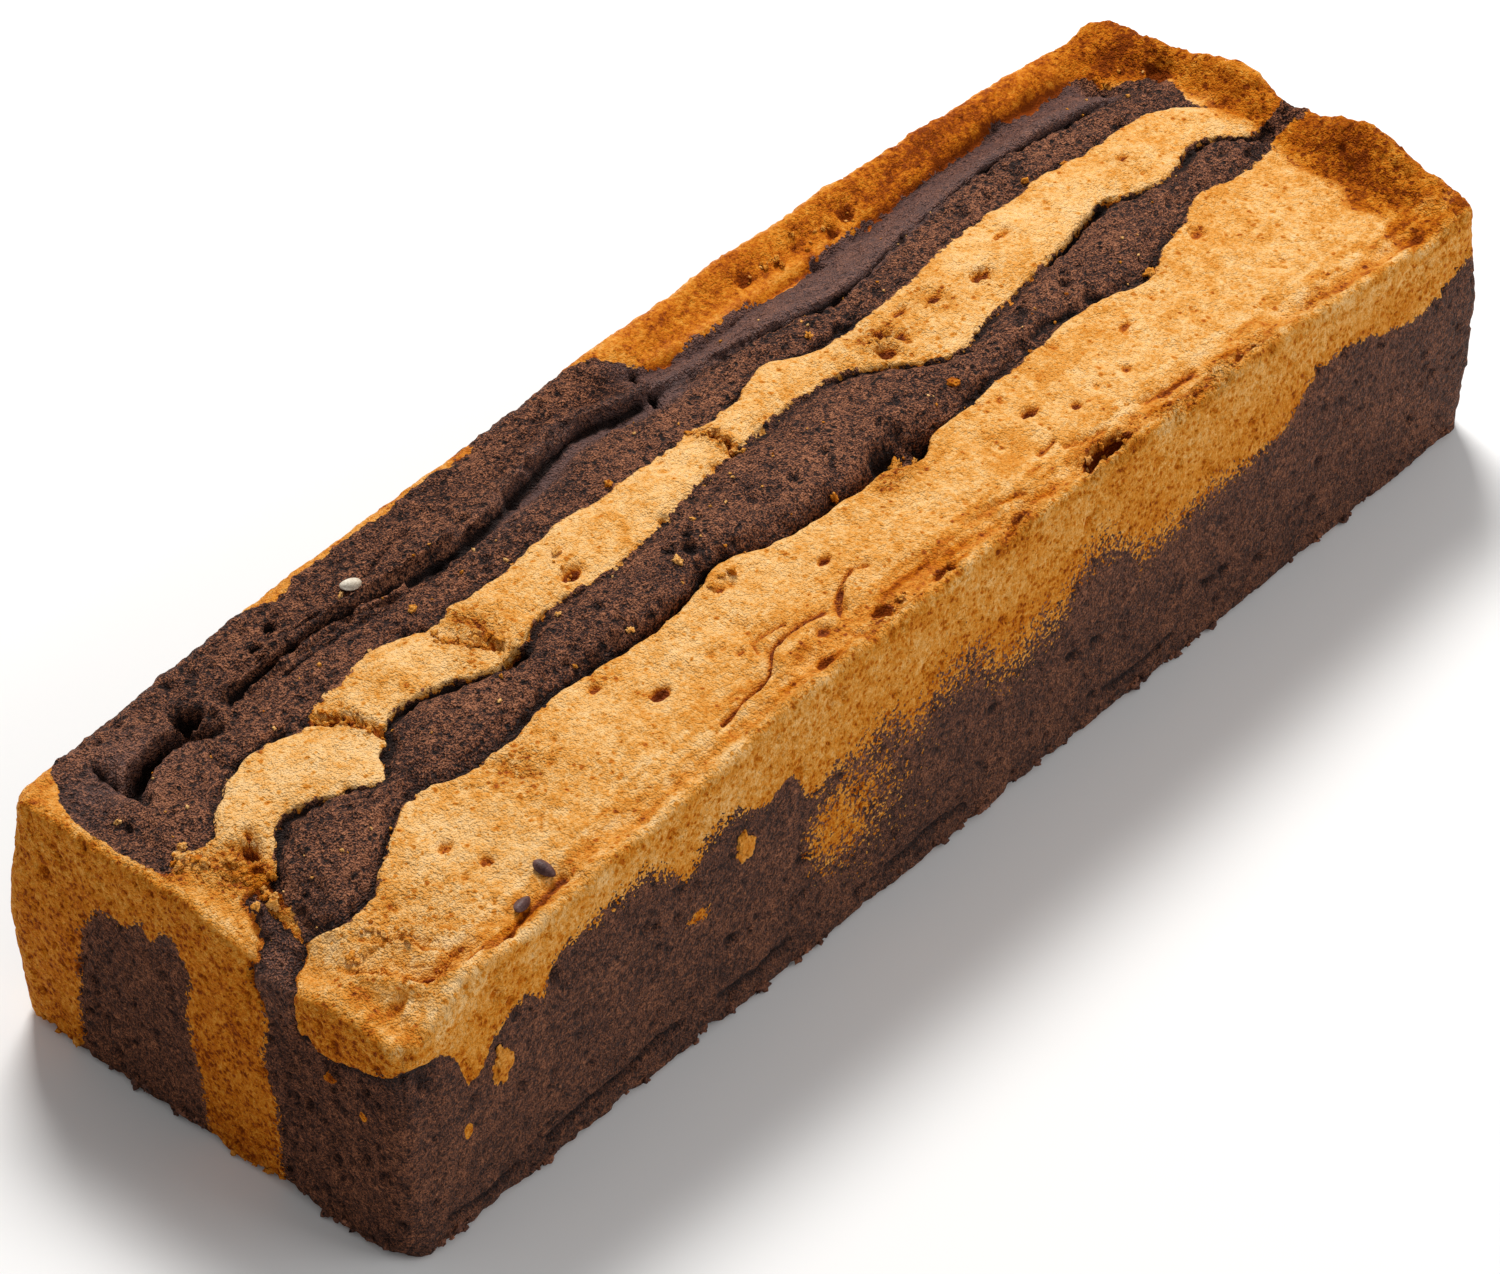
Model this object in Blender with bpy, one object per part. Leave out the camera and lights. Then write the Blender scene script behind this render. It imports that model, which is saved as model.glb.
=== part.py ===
"""A whole marble cake baked in a long tin: one solid with a domed, folded and cracked top.

The frame: X runs along the loaf with the near end at -X, Y runs across it, Z is up, and the origin is under
the middle of the loaf on the surface that it stands on. Sizes are in millimetres until the mesh is made.
"""
import bmesh
import bpy
import numpy as np
from mathutils import Matrix, Vector, noise

# Driving dimensions
MM = 0.001
LENGTH = 251.0
WIDTH = 79.0
CREST = 52.0
END_DROP = 8.5
LEFT_SHOULDER = 50.0
LEFT_DROP = 7.0
LEFT_RIM_RISE = 1.2
DOME_RISE = 3.0
CORNER_RADIUS = 4.0
TOP_EDGE_RADIUS = 2.6
LEFT_EDGE_RADIUS = 3.4
BOTTOM_EDGE_RADIUS = 1.0
WALL_SWELL = 1.3
CORNER_SWELL = 0.8
SWELL_REACH = 0.45
FOOT_TUCK = 0.4
SIDE_UNEVENNESS = 0.45
TOP_UNEVENNESS = 0.35
HALF_LENGTH = LENGTH / 2
HALF_WIDTH = WIDTH / 2

# How finely the solid is divided
STATION_PITCH = 2.5
EDGE_STEPS = (0, 0.4, 1.3, 2.6)
SIDE_RINGS = 7

# Lines along the top, each as (x, y) at a few stations
STRIPE_LOWER = [(-125, -17), (-118, -14), (-110, -17.5), (-100, -12.8), (-90, -8.6), (-81, -12.2),
                (-66, -11), (-46, -13), (-35, -12.6), (-28, -10.8), (-20, -13.5), (-5, -15.4), (11, -16.8),
                (30, -14.6), (52, -12.5), (71, -14.4), (82, -10.3), (93, -6.4), (108, -6.8), (117, -4.6),
                (125, -5)]
STRIPE_UPPER = [(-125, -9), (-116, -7), (-112, -2.5), (-105, 3), (-98, -0.5), (-90, -3), (-84, 2.8),
                (-79, 4.6), (-66, -0.3), (-52, 1.4), (-36, 0.4), (-20, 2), (-5, 4.3), (10, 5.2), (21, 2.7),
                (33, -5.2), (47, -3.5), (66, 0), (81, 3.2), (90, 1), (105, 3.4), (115, -1.4), (125, 0)]
CENTRE_UPPER = [(-125, 12), (-115, 8), (-103, 15), (-89, 13.6), (-75, 16.3), (-64, 12.6), (-35, 13.3),
                (-4, 11.8), (12.5, 14.9), (20, 11), (37, 11.2), (60, 14), (97, 15), (110, 14), (125, 9)]
FOLD = [(-125, 24), (-92, 26), (-72, 26), (-60, 23.3), (-50, 22.4), (-30, 25.7), (-15, 28.3), (-3, 25.5),
        (20, 21), (31, 18), (55, 21), (78, 24.2), (107, 23), (125, 22)]
RIM_INNER = [(-125, 33), (-60, 34.6), (-22, 34.8), (-8, 34), (4, 30.3), (38, 28.5), (60, 30), (91, 32.5),
             (125, 32)]
CREVICE = [(-115, 25), (-110, 27.6), (-102, 27.6), (-99, 25), (-89, 24)]

# How deep the grooves beside those lines are, as (x, depth)
LOWER_GROOVE = [(-125, 0.4), (-112, 1.5), (-95, 1.2), (-60, 2), (-44, 3.2), (-28, 1.2), (-18, 3),
                (11, 4), (22, 2.4), (75, 1.2), (125, 0.3)]
UPPER_GROOVE = [(-125, 0.3), (-108, 1.8), (-90, 0.8), (-80, 2.2), (-62, 2), (-50, 0.8), (0, 0.5),
                (34, 1.2), (60, 0.8), (82, 1.6), (93, 0.7), (105, 1.8), (125, 0.2)]
FOLD_DROP = [(-125, 0), (-96, 0), (-75, 1.6), (-55, 2.4), (-15, 3.4), (-5, 3), (2, 1.5), (20, 1.4),
             (35, 2.2), (60, 1.3), (92, 2), (104, 1.4), (111, 0), (125, 0)]
FOLD_REACH = [(-125, 3), (-75, 4), (-50, 3), (-15, 6.5), (-5, 6), (8, 3.5), (125, 2.5)]

# Rims at the two ends, as (y, height), and the foot of the far rim's inner wall, as (y, x)
NEAR_RIM = [(-39.5, 42.5), (-22, 42.5), (-17, 41), (-11, 41), (-6, 43.5), (0, 45), (20, 44.5),
            (39.5, 44)]
FAR_RIM = [(-39.5, 46.2), (-29, 48), (-18, 51.5), (-12, 50.2), (-4, 47.4), (1, 48), (7, 51), (13, 50.4),
           (18, 48.4), (30, 46.8), (39.5, 45.6)]
FAR_FOOT = [(-39.5, 108), (-30, 110.5), (-20, 113), (-5, 115), (8, 116), (20, 117), (30, 112),
            (39.5, 111)]
NEAR_SLOPE = 14.0
FAR_CREST_INSET = 2.5

# Round swellings and hollows of the top, as (x, y, radius along x, radius along y, height)
SPOTS = [(-103, -7, 9, 6, 1.1), (-113, -1, 4.5, 5, -2.2), (-98.5, 28.3, 1.9, 2.4, -4),
         (-60.4, -1.6, 2.6, 1.4, -2), (11.5, -12.5, 5, 2, -2.4), (110.5, 27, 2.4, 4, -2.4),
         (-43, 4.1, 1.8, 1.4, -1.6), (33, -36.6, 4.5, 1.4, -1.6), (-113.5, 28, 1.3, 5, -1.3)]

# Seeds on the top, as (x, y, length, breadth, turn in degrees)
SEEDS = [(-64.5, 28.5, 3.8, 2.6, 135), (-89, -32.6, 3.6, 2.3, 96), (-95.5, -34.3, 3.8, 2, 12)]
SEED_THICKNESS = 1.7
SEED_PROUD = 0.35

# Crumbs stuck to the long side, as (x, z, across, tall)
CRUMBS = [(-107, 27, 4.2, 8), (-54.8, 32.7, 4, 5.6)]
CRUMB_THICKNESS = 3.4
CRUMB_PROUD = 0.1


def smooth_line(stations):
    """A smooth curve through a few stations, as a function of the first coordinate."""
    at, value = np.array(stations, float).T
    slope = np.gradient(value, at)

    def line(x):
        x = np.clip(x, at[0], at[-1])
        i = np.clip(np.searchsorted(at, x) - 1, 0, len(at) - 2)
        gap = at[i + 1] - at[i]
        t = (x - at[i]) / gap
        ends = value[i] * (2 * t**3 - 3 * t**2 + 1) + value[i + 1] * (3 * t**2 - 2 * t**3)
        return ends + gap * (slope[i] * (t**3 - 2 * t**2 + t) + slope[i + 1] * (t**3 - t**2))

    return line


def ease(t):
    """0 below 0, 1 above 1, and a smooth S between."""
    t = np.clip(t, 0, 1)
    return t * t * (3 - 2 * t)


def dip(distance, steep, soft):
    """A groove's profile: steep on the side with negative distance, soft on the other."""
    return -np.exp(-((distance / np.where(distance < 0, steep, soft)) ** 2))


stripe_lower, stripe_upper = map(smooth_line, (STRIPE_LOWER, STRIPE_UPPER))
centre_upper, fold = map(smooth_line, (CENTRE_UPPER, FOLD))
rim_inner, crevice = map(smooth_line, (RIM_INNER, CREVICE))
lower_groove, upper_groove = map(smooth_line, (LOWER_GROOVE, UPPER_GROOVE))
fold_drop, fold_reach = map(smooth_line, (FOLD_DROP, FOLD_REACH))
near_rim, far_rim, far_foot = map(smooth_line, (NEAR_RIM, FAR_RIM, FAR_FOOT))


def dome(x, y):
    """The loaf's broad form: a low dome between the right ridge and the left shoulder."""
    along = np.abs(x / HALF_LENGTH)
    right = CREST - END_DROP * along**2
    left = LEFT_SHOULDER - LEFT_DROP * along**2.5
    across = (y + HALF_WIDTH) / WIDTH
    return right * (1 - across) + left * across + DOME_RISE * (1 - (y / HALF_WIDTH) ** 2)


def marbling_relief(x, y):
    """Grooves beside the stripes, and the fold of the left chocolate band."""
    inside = ease((HALF_LENGTH - np.abs(x) - 3) / 8)
    z = lower_groove(x) * dip(y - stripe_lower(x), 0.8, 2.4)
    z += upper_groove(x) * dip(stripe_upper(x) - y, 0.9, 1.8)
    z += 0.9 * dip(y - centre_upper(x), 0.6, 1.6)
    below = fold(x) - y
    reach = fold_reach(x)
    lip = 0.3 * np.exp(-(((below + 1.6) / 1.6) ** 2))
    step = ease(0.5 + below / 1.4) * (1 - ease((below - 0.4 * reach) / (0.8 * reach)))
    z += fold_drop(x) * (lip - step)
    z += 1.7 * ease((x + 4) / 8) * ease((112 - x) / 6) * dip(rim_inner(x) - y, 0.9, 3.5)
    z += 3.2 * ease((x + 115) / 3) * ease((-93 - x) / 10) * dip(crevice(x) - y, 0.9, 1.2)
    return z * inside


def edge_relief(x, y):
    """The trough inside the left rim, the rim itself, and the valley inside the right ridge."""
    raised = ease((x + 20) / 20)
    z = -(0.6 + 1.6 * raised) * np.exp(-(((y - 30) / 6) ** 2))
    z += LEFT_RIM_RISE * raised * ease((y - 31) / 6)
    return z - 1.1 * np.exp(-(((y + 35) / 1.9) ** 2))


def top_height(x, y):
    """Height of the top above the base, before its outer edge is rounded."""
    z = dome(x, y) + edge_relief(x, y) + marbling_relief(x, y)
    for sx, sy, rx, ry, height in SPOTS:
        z += height * np.exp(-(((x - sx) / rx) ** 2) - ((y - sy) / ry) ** 2)
    z = near_rim(y) + (z - near_rim(y)) * ease((x + HALF_LENGTH) / NEAR_SLOPE)
    foot = far_foot(y)
    return z + (far_rim(y) - z) * ease((x - foot) / (HALF_LENGTH - FAR_CREST_INSET - foot))


def unevenness(x, y, z, size):
    """Smooth lumps of about the given size, between -1 and 1."""
    return noise.noise(Vector((x, y, z)) / size)


def rounded_plan(x, y):
    """Moves points near the four upright edges so that the outline from above has round corners."""
    u = (abs(x) - HALF_LENGTH + CORNER_RADIUS) / CORNER_RADIUS
    v = (abs(y) - HALF_WIDTH + CORNER_RADIUS) / CORNER_RADIUS
    if u <= 0 or v <= 0:
        return x, y
    reach = max(u, v)
    turn = np.pi / 4 * (v / u if u >= v else 2 - u / v)
    return (np.sign(x) * (HALF_LENGTH - CORNER_RADIUS + CORNER_RADIUS * reach * np.cos(turn)),
            np.sign(y) * (HALF_WIDTH - CORNER_RADIUS + CORNER_RADIUS * reach * np.sin(turn)))


def edge_drop(inset, radius):
    """How far a rounded edge lies below the top at some distance inside the outline."""
    left = np.clip(radius - inset, 0, radius)
    return radius - np.sqrt(radius**2 - left**2)


def stations():
    """Where the top is cut across: close together at the rounded ends, even between."""
    close = np.array(EDGE_STEPS)
    inner = HALF_LENGTH - close[-1]
    count = round(2 * inner / STATION_PITCH)
    middle = np.linspace(-inner, inner, count + 1)[1:-1]
    return np.concatenate([-HALF_LENGTH + close, middle, (HALF_LENGTH - close)[::-1]])


def rows(x):
    """The Y of each row of the top at one station. Rows follow the stripes and the folds."""
    inner = HALF_WIDTH - EDGE_STEPS[-1]
    guides = [(-inner, 2), (-35, 3), (-24, 3), (stripe_lower(x) - 1, 1), (stripe_lower(x), 1),
              (stripe_lower(x) + 1.6, 2), (stripe_upper(x) - 1.2, 1), (stripe_upper(x), 1),
              (stripe_upper(x) + 1.2, 2), (centre_upper(x), 1), (centre_upper(x) + 1.5, 2),
              (fold(x) - 2.6, 1), (fold(x) - 0.7, 1), (fold(x) + 0.7, 1), (rim_inner(x) - 1.2, 1),
              (rim_inner(x) + 0.8, 1), (inner, 0)]
    y = [-HALF_WIDTH + step for step in EDGE_STEPS[:-1]]
    for (start, steps), (end, _) in zip(guides, guides[1:]):
        y += [start + (end - start) * i / steps for i in range(steps)]
    return y + [HALF_WIDTH - step for step in EDGE_STEPS[::-1]]


def top_point(x, y):
    """One point of the top, with its edge rounded."""
    inset_x = HALF_LENGTH - abs(x)
    inset_y = HALF_WIDTH - abs(y)
    px, py = rounded_plan(x, y)
    z = float(top_height(px, py)) + TOP_UNEVENNESS * unevenness(px, py, 0, 7)
    z -= edge_drop(inset_x, TOP_EDGE_RADIUS)
    left_radius = LEFT_EDGE_RADIUS + (TOP_EDGE_RADIUS - LEFT_EDGE_RADIUS) * ease((px + 20) / 20)
    z -= edge_drop(inset_y, left_radius if y > 0 else TOP_EDGE_RADIUS)
    return Vector((px, py, z))


def outward(rim):
    """The level direction that points out of the wall at a rim point."""
    x = rim.x - np.clip(rim.x, CORNER_RADIUS - HALF_LENGTH, HALF_LENGTH - CORNER_RADIUS)
    y = rim.y - np.clip(rim.y, CORNER_RADIUS - HALF_WIDTH, HALF_WIDTH - CORNER_RADIUS)
    return Vector((x, y, 0)).normalized()


def side_point(rim, part):
    """A point of the wall below a rim point: part is 0 at the rim and 1 at the foot."""
    z = BOTTOM_EDGE_RADIUS + (rim.z - BOTTOM_EDGE_RADIUS) * (1 - part)
    out = outward(rim)
    upright = 4 * (out.x * out.y) ** 2
    swell = (WALL_SWELL + CORNER_SWELL * upright) * float(ease(part / SWELL_REACH))
    swell -= (FOOT_TUCK + WALL_SWELL * upright) * part**3
    swell += SIDE_UNEVENNESS * unevenness(rim.x, rim.y, z, 14) * np.sin(np.pi * part)
    return Vector((rim.x, rim.y, z)) + out * swell


def cake_solid():
    """The loaf: a gridded top, rings down the wall and one flat face below."""
    bm = bmesh.new()
    grid = [[bm.verts.new(top_point(x, y)) for y in rows(x)] for x in stations()]
    for near, far in zip(grid, grid[1:]):
        for i in range(len(near) - 1):
            bm.faces.new((near[i], far[i], far[i + 1], near[i + 1]))
    ring = [line[0] for line in grid] + grid[-1][1:]
    ring += [line[-1] for line in grid[-2::-1]] + grid[0][-2:0:-1]
    rim = [v.co.copy() for v in ring]
    levels = [[side_point(p, (i + 1) / SIDE_RINGS) for p in rim] for i in range(SIDE_RINGS)]
    levels.append([Vector((p.x, p.y, 0)) - outward(p) * BOTTOM_EDGE_RADIUS for p in levels[-1]])
    for level in levels:
        below = [bm.verts.new(p) for p in level]
        for i in range(len(ring)):
            j = (i + 1) % len(ring)
            bm.faces.new((ring[i], below[i], below[j], ring[j]))
        ring = below
    bm.faces.new(ring[::-1])
    bmesh.ops.recalc_face_normals(bm, faces=bm.faces)
    return bm


def lump(size, where, turn, name):
    """A seed or crumb: a small rounded body of the given length, breadth and thickness."""
    bm = bmesh.new()
    bmesh.ops.create_icosphere(bm, subdivisions=1, radius=0.5)
    bm.transform(Matrix.Translation(where) @ turn @ Matrix.Diagonal((*size, 1)))
    return finish(bm, name)


def finish(bm, name):
    """Turns millimetres into metres and the mesh into a named object."""
    bm.transform(Matrix.Scale(MM, 4))
    mesh = bpy.data.meshes.new(name)
    bm.to_mesh(mesh)
    bm.free()
    mesh.shade_smooth()
    thing = bpy.data.objects.new(name, mesh)
    bpy.context.scene.collection.objects.link(thing)
    return thing


def add_lumps(cake):
    """Fuses the seeds and the stuck crumbs to the loaf with one Boolean union."""
    group = bpy.data.collections.new("lumps")
    bpy.context.scene.collection.children.link(group)
    for n, (x, y, length, breadth, turn) in enumerate(SEEDS):
        where = Vector((x, y, float(top_height(x, y)) + SEED_PROUD))
        spin = Matrix.Rotation(np.radians(turn), 4, "Z")
        group.objects.link(lump((length, breadth, SEED_THICKNESS), where, spin, f"seed_{n}"))
    for n, (x, z, across, tall) in enumerate(CRUMBS):
        where = Vector((x, -HALF_WIDTH - CRUMB_PROUD, z))
        group.objects.link(lump((across, CRUMB_THICKNESS, tall), where, Matrix(), f"crumb_{n}"))
    union = cake.modifiers.new("lumps", "BOOLEAN")
    union.operand_type = "COLLECTION"
    union.collection = group
    union.operation = "UNION"
    evaluated = cake.evaluated_get(bpy.context.evaluated_depsgraph_get())
    fused = bpy.data.meshes.new_from_object(evaluated)
    cake.modifiers.clear()
    cake.data = fused
    for thing in list(group.objects):
        bpy.data.objects.remove(thing)
    bpy.data.collections.remove(group)


def centre_on_box(cake):
    """Puts the middle of the box's foot on the origin."""
    points = np.array([v.co for v in cake.data.vertices])
    low, high = points.min(0), points.max(0)
    middle = (low + high) / 2
    cake.data.transform(Matrix.Translation((-middle[0], -middle[1], -low[2])))


def crumb_material():
    """Baked crumb, coloured as the browned batter."""
    material = bpy.data.materials.new("baked_crumb")
    material.use_nodes = True
    shader = material.node_tree.nodes["Principled BSDF"]
    shader.inputs["Base Color"].default_value = (0.35, 0.15, 0.05, 1)
    shader.inputs["Roughness"].default_value = 0.75
    return material


def main():
    for thing in list(bpy.data.objects):
        bpy.data.objects.remove(thing)
    cake = finish(cake_solid(), "marble_cake")
    add_lumps(cake)
    centre_on_box(cake)
    cake.data.materials.clear()
    cake.data.materials.append(crumb_material())
    cake.data.shade_smooth()


main()
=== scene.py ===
# %% [markdown]
# # A marble cake
# This lesson dresses a whole marble cake: a long, uncut loaf of vanilla and chocolate batter, baked in a
# straight tin. The solid model gives its true box. Here the plain solid is replaced by a fine mesh with
# the folds, cracks and pores of the crust, and by two kinds of crumb that share one surface.

# %% Load the frame
import math
import random

import bmesh
import bpy
import numpy as np
from mathutils import Matrix, Vector, kdtree, noise


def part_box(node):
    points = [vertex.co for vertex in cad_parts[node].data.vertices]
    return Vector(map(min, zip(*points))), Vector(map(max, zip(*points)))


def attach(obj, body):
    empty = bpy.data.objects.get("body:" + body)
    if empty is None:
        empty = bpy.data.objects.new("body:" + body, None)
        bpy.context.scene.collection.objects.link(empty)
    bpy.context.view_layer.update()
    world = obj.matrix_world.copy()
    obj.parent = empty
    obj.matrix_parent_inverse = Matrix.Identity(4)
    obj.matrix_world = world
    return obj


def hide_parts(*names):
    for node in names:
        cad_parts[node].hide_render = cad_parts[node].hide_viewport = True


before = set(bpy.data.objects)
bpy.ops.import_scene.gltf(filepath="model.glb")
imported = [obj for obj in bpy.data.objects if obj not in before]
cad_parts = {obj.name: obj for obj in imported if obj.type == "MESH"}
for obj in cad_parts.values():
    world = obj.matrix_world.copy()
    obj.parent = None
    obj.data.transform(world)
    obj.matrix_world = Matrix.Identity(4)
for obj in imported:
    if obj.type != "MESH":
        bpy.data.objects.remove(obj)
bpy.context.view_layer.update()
low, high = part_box("marble_cake")
MM = 0.001
print("solid box in mm:", [round(c / MM, 1) for c in (*low, *high)])

# %% [markdown]
# ## Helpers for curves
# Every line of the marbling is a smooth curve through a few stations that were read off the real cake. A
# cubic curve per gap is enough, and it works on whole arrays of points at once, so no loop over vertices
# is needed.

# %% Smooth lines, easing and grooves


def smooth_line(stations):
    """A smooth curve through a few stations, as a function of the first coordinate."""
    at, value = np.array(stations, float).T
    slope = np.gradient(value, at)

    def line(x):
        x = np.clip(x, at[0], at[-1])
        i = np.clip(np.searchsorted(at, x) - 1, 0, len(at) - 2)
        gap = at[i + 1] - at[i]
        t = (x - at[i]) / gap
        ends = value[i] * (2 * t**3 - 3 * t**2 + 1) + value[i + 1] * (3 * t**2 - 2 * t**3)
        return ends + gap * (slope[i] * (t**3 - 2 * t**2 + t) + slope[i + 1] * (t**3 - t**2))

    return line


def ease(t):
    """0 below 0, 1 above 1, and a smooth S between."""
    t = np.clip(t, 0, 1)
    return t * t * (3 - 2 * t)


def window(x, start, end, fade_in, fade_out):
    """0 outside start and end, 1 well inside them, and smooth between."""
    return ease((x - start) / fade_in) * ease((end - x) / fade_out)


def bell(distance, width):
    """1 at distance 0, and smoothly less to both sides."""
    return np.exp(-((distance / width) ** 2))


def strip(value, place):
    """A bell curve round a place, given as (middle, width)."""
    middle, width = place
    return bell(value - middle, width)


def dip(distance, steep, soft):
    """A groove's profile: steep on the side with negative distance, soft on the other."""
    return -bell(distance, np.where(distance < 0, steep, soft))


def bump_at(x, y, spot):
    """A round swelling: spot is its centre, its radius along and across, and its height."""
    spot_x, spot_y, along, across, height = spot
    return height * np.exp(-(((x - spot_x) / along) ** 2) - ((y - spot_y) / across) ** 2)


def lumps(x, y, z, size, octaves=2, seed=0.0):
    """Smooth random lumps of about the given size in millimetres, between about -1 and 1."""
    points = np.stack([x, y, z], -1).reshape(-1, 3) / size + seed
    out = [noise.fractal(Vector(p), 1.0, 2.0, octaves) for p in points]
    return np.array(out).reshape(np.shape(x))


def beside_path(x, y, path):
    """How far points lie left of a broken line (below 0: right), and at what part of its length."""
    nearest, along = np.full(np.shape(x), 1e9), np.zeros(np.shape(x))
    lengths = [math.dist(a, b) for a, b in zip(path, path[1:])]
    walked = 0.0
    for (ax, ay), (bx, by), length in zip(path, path[1:], lengths):
        dx, dy = bx - ax, by - ay
        t = np.clip(((x - ax) * dx + (y - ay) * dy) / length**2, 0, 1)
        away = np.hypot(x - ax - t * dx, y - ay - t * dy)
        away = np.where(dx * (y - ay) > dy * (x - ax), away, -away)
        closer = np.abs(away) < np.abs(nearest)
        nearest = np.where(closer, away, nearest)
        along = np.where(closer, (walked + t * length) / sum(lengths), along)
        walked += length
    return nearest, along


def distance_to_path(x, y, path):
    """How far points lie from a broken line, seen from above."""
    return np.abs(beside_path(x, y, path)[0])


# %% [markdown]
# ## The loaf's form
# The tin sets the box. The batter rose into a low dome, and where it climbed the tin it left a ridge
# along the right side, a rim along the left, and a high scalloped wall at the far end. These are the same
# named sizes as the solid's. Only the dome is 1.2 mm lower, which leaves room in the solid's box for the
# roughness added later.

# %% Driving sizes, in millimetres
LENGTH = 251.0
WIDTH = 79.0
HALF_LENGTH = LENGTH / 2
HALF_WIDTH = WIDTH / 2
CREST = 52.0
END_DROP = 8.5
LEFT_SHOULDER = 50.0
LEFT_DROP = 7.0
LEFT_RIM_RISE = 1.2
DOME_RISE = 1.8
CORNER_RADIUS = 4.0
TOP_EDGE_RADIUS = 2.6
NEAR_EDGE_RADIUS = 1.8
RIGHT_EDGE_RADIUS = 2.0
LEFT_EDGE_RADIUS = 3.4
BOTTOM_EDGE_RADIUS = 1.0
WALL_SWELL = 1.3
CORNER_SWELL = 0.8
SWELL_REACH = 0.45
FOOT_TUCK = 0.4
NEAR_SLOPE = 14.0
FAR_CREST_INSET = 2.5

NEAR_RIM = [
    (-39.5, 42.5), (-22, 42.5), (-17, 41), (-11, 41), (-6, 43.5), (0, 45), (20, 44.5), (39.5, 44)]
FAR_RIM = [
    (-39.5, 46.2), (-29, 48), (-18, 51.5), (-12, 50.2), (-4, 47.4), (1, 48), (7, 51), (13, 50.4),
    (18, 48.4), (30, 46.8), (39.5, 45.6)]
FAR_FOOT = [
    (-39.5, 108), (-34, 108.6), (-30, 111.4), (-25, 110.8), (-20, 113.8), (-13, 112.8), (-5, 115.6),
    (8, 116), (20, 117), (30, 112), (39.5, 111)]
near_rim, far_rim, far_foot = map(smooth_line, (NEAR_RIM, FAR_RIM, FAR_FOOT))


def dome(x, y):
    """The loaf's broad form: a low dome between the right ridge and the left shoulder."""
    along = np.abs(x / HALF_LENGTH)
    right = CREST - END_DROP * along**2
    left = LEFT_SHOULDER - LEFT_DROP * along**2.5
    across = (y + HALF_WIDTH) / WIDTH
    return right * (1 - across) + left * across + DOME_RISE * (1 - (y / HALF_WIDTH) ** 2)


print("crest of the dome:", round(float(dome(0.0, 0.0)), 1), "mm")

# %% [markdown]
# ## Where the two batters meet on top
# Seen from above there is a wavy chocolate stripe, a vanilla stripe in the middle, and a broad chocolate
# band at the left. Their edges are the most recognisable lines of this cake, so they get the most
# stations.

# %% The marbling's lines, as (x, y)
STRIPE_LOWER = [
    (-128, -18), (-124, -17), (-120.5, -13.6), (-117.5, -14.2), (-115, -16.8), (-109, -17.5),
    (-103, -14.8), (-97, -11.2), (-90, -8.6), (-84, -11.3), (-77, -12.3), (-66, -11), (-57, -11.8),
    (-46, -13.1), (-34, -12.5), (-28, -10.7), (-24.5, -11.2), (-20, -13.5), (-10, -15.1), (0, -15.6),
    (6, -15.7), (11, -17), (16, -15.3), (25, -15.5), (31, -14.4), (45, -13.8), (51.5, -12.5), (60, -13.2),
    (71, -14.6), (77, -12), (87, -9), (92, -6.6), (103, -7.1), (112, -6.2), (117.5, -4.4), (122, -5.2),
    (128, -6)]
STRIPE_UPPER = [
    (-128, -9), (-123.4, -8.4), (-121.6, -4.4), (-119.4, -3.4), (-117, -3), (-114.6, -3.6), (-113, -3),
    (-111.5, -1.5), (-109.5, 0.3), (-105, 3), (-101, 1.7), (-96, -1.2), (-90.5, -3.2), (-88, 0),
    (-85.5, 1), (-83.5, 3.5), (-79, 4.6), (-72, 3), (-66, -0.4), (-59, -0.7), (-54, 1.3), (-47, 1.2),
    (-40, 0.3), (-28, 1), (-15, 3.3), (-5, 4.3), (10, 5.2), (18, 4), (24, 0.5), (30, -4), (36, -5.6),
    (42, -4), (52, -2.5), (62, -0.7), (75, 2), (82, 3.2), (88, 1), (98, 1.3), (104.5, 3.4), (109, 2.4),
    (114, -1.3), (119, -1.2), (128, 0.5)]
CENTRE_UPPER = [
    (-128, 14), (-124.3, 12.2), (-121.5, 8.8), (-119, 11), (-117, 9.3), (-114.5, 7.9), (-110, 11.5),
    (-103, 15), (-96, 14.9), (-90, 13.4), (-87.5, 14.7), (-81, 15.3), (-75, 16.3), (-70, 15.3),
    (-64.5, 12.6), (-58, 13.4), (-50, 12.7), (-36, 13.4), (-27, 12.5), (-15, 12.4), (-10, 12),
    (-6.5, 12.8), (-3.5, 11.7), (5, 12.5), (12, 14.9), (16, 13), (19.5, 11), (30, 10.8), (42, 11.4),
    (52, 13.2), (65, 14), (80, 14.8), (90, 14.4), (104, 15), (109, 14.4), (112.5, 12), (116, 8), (128, 4)]
LEFT_EDGE = [
    (-128, 24), (-123.5, 27), (-121.5, 32), (-119, 35.5), (-117.5, 40), (-110, 46), (-85, 46), (-77, 38.5),
    (-74, 36.4), (-67, 37), (-57, 37.4), (-50, 36.6), (-42, 37.6), (-34, 36.3), (-28.5, 38), (-26, 44),
    (-14, 44), (-9, 39.4), (-3, 36.4), (1, 33), (4.5, 30.4), (12, 30), (22, 29.7), (37, 27.9), (42, 29.4),
    (60, 30), (72, 31.4), (86, 32), (91, 32.8), (96, 31.8), (105, 32.2), (112, 31.6), (116, 28), (128, 22)]
FOLD = [
    (-125, 24), (-92, 26), (-72, 26), (-60, 23.3), (-50, 22.4), (-30, 25.7), (-15, 28.3), (-3, 25.5),
    (20, 21), (31, 18), (55, 21), (78, 24.2), (107, 23), (125, 22)]
RIM_INNER = [
    (-125, 33), (-60, 34.6), (-22, 34.8), (-8, 34), (4, 30.3), (38, 28.5), (60, 30), (91, 32.5), (125, 32)]
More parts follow.
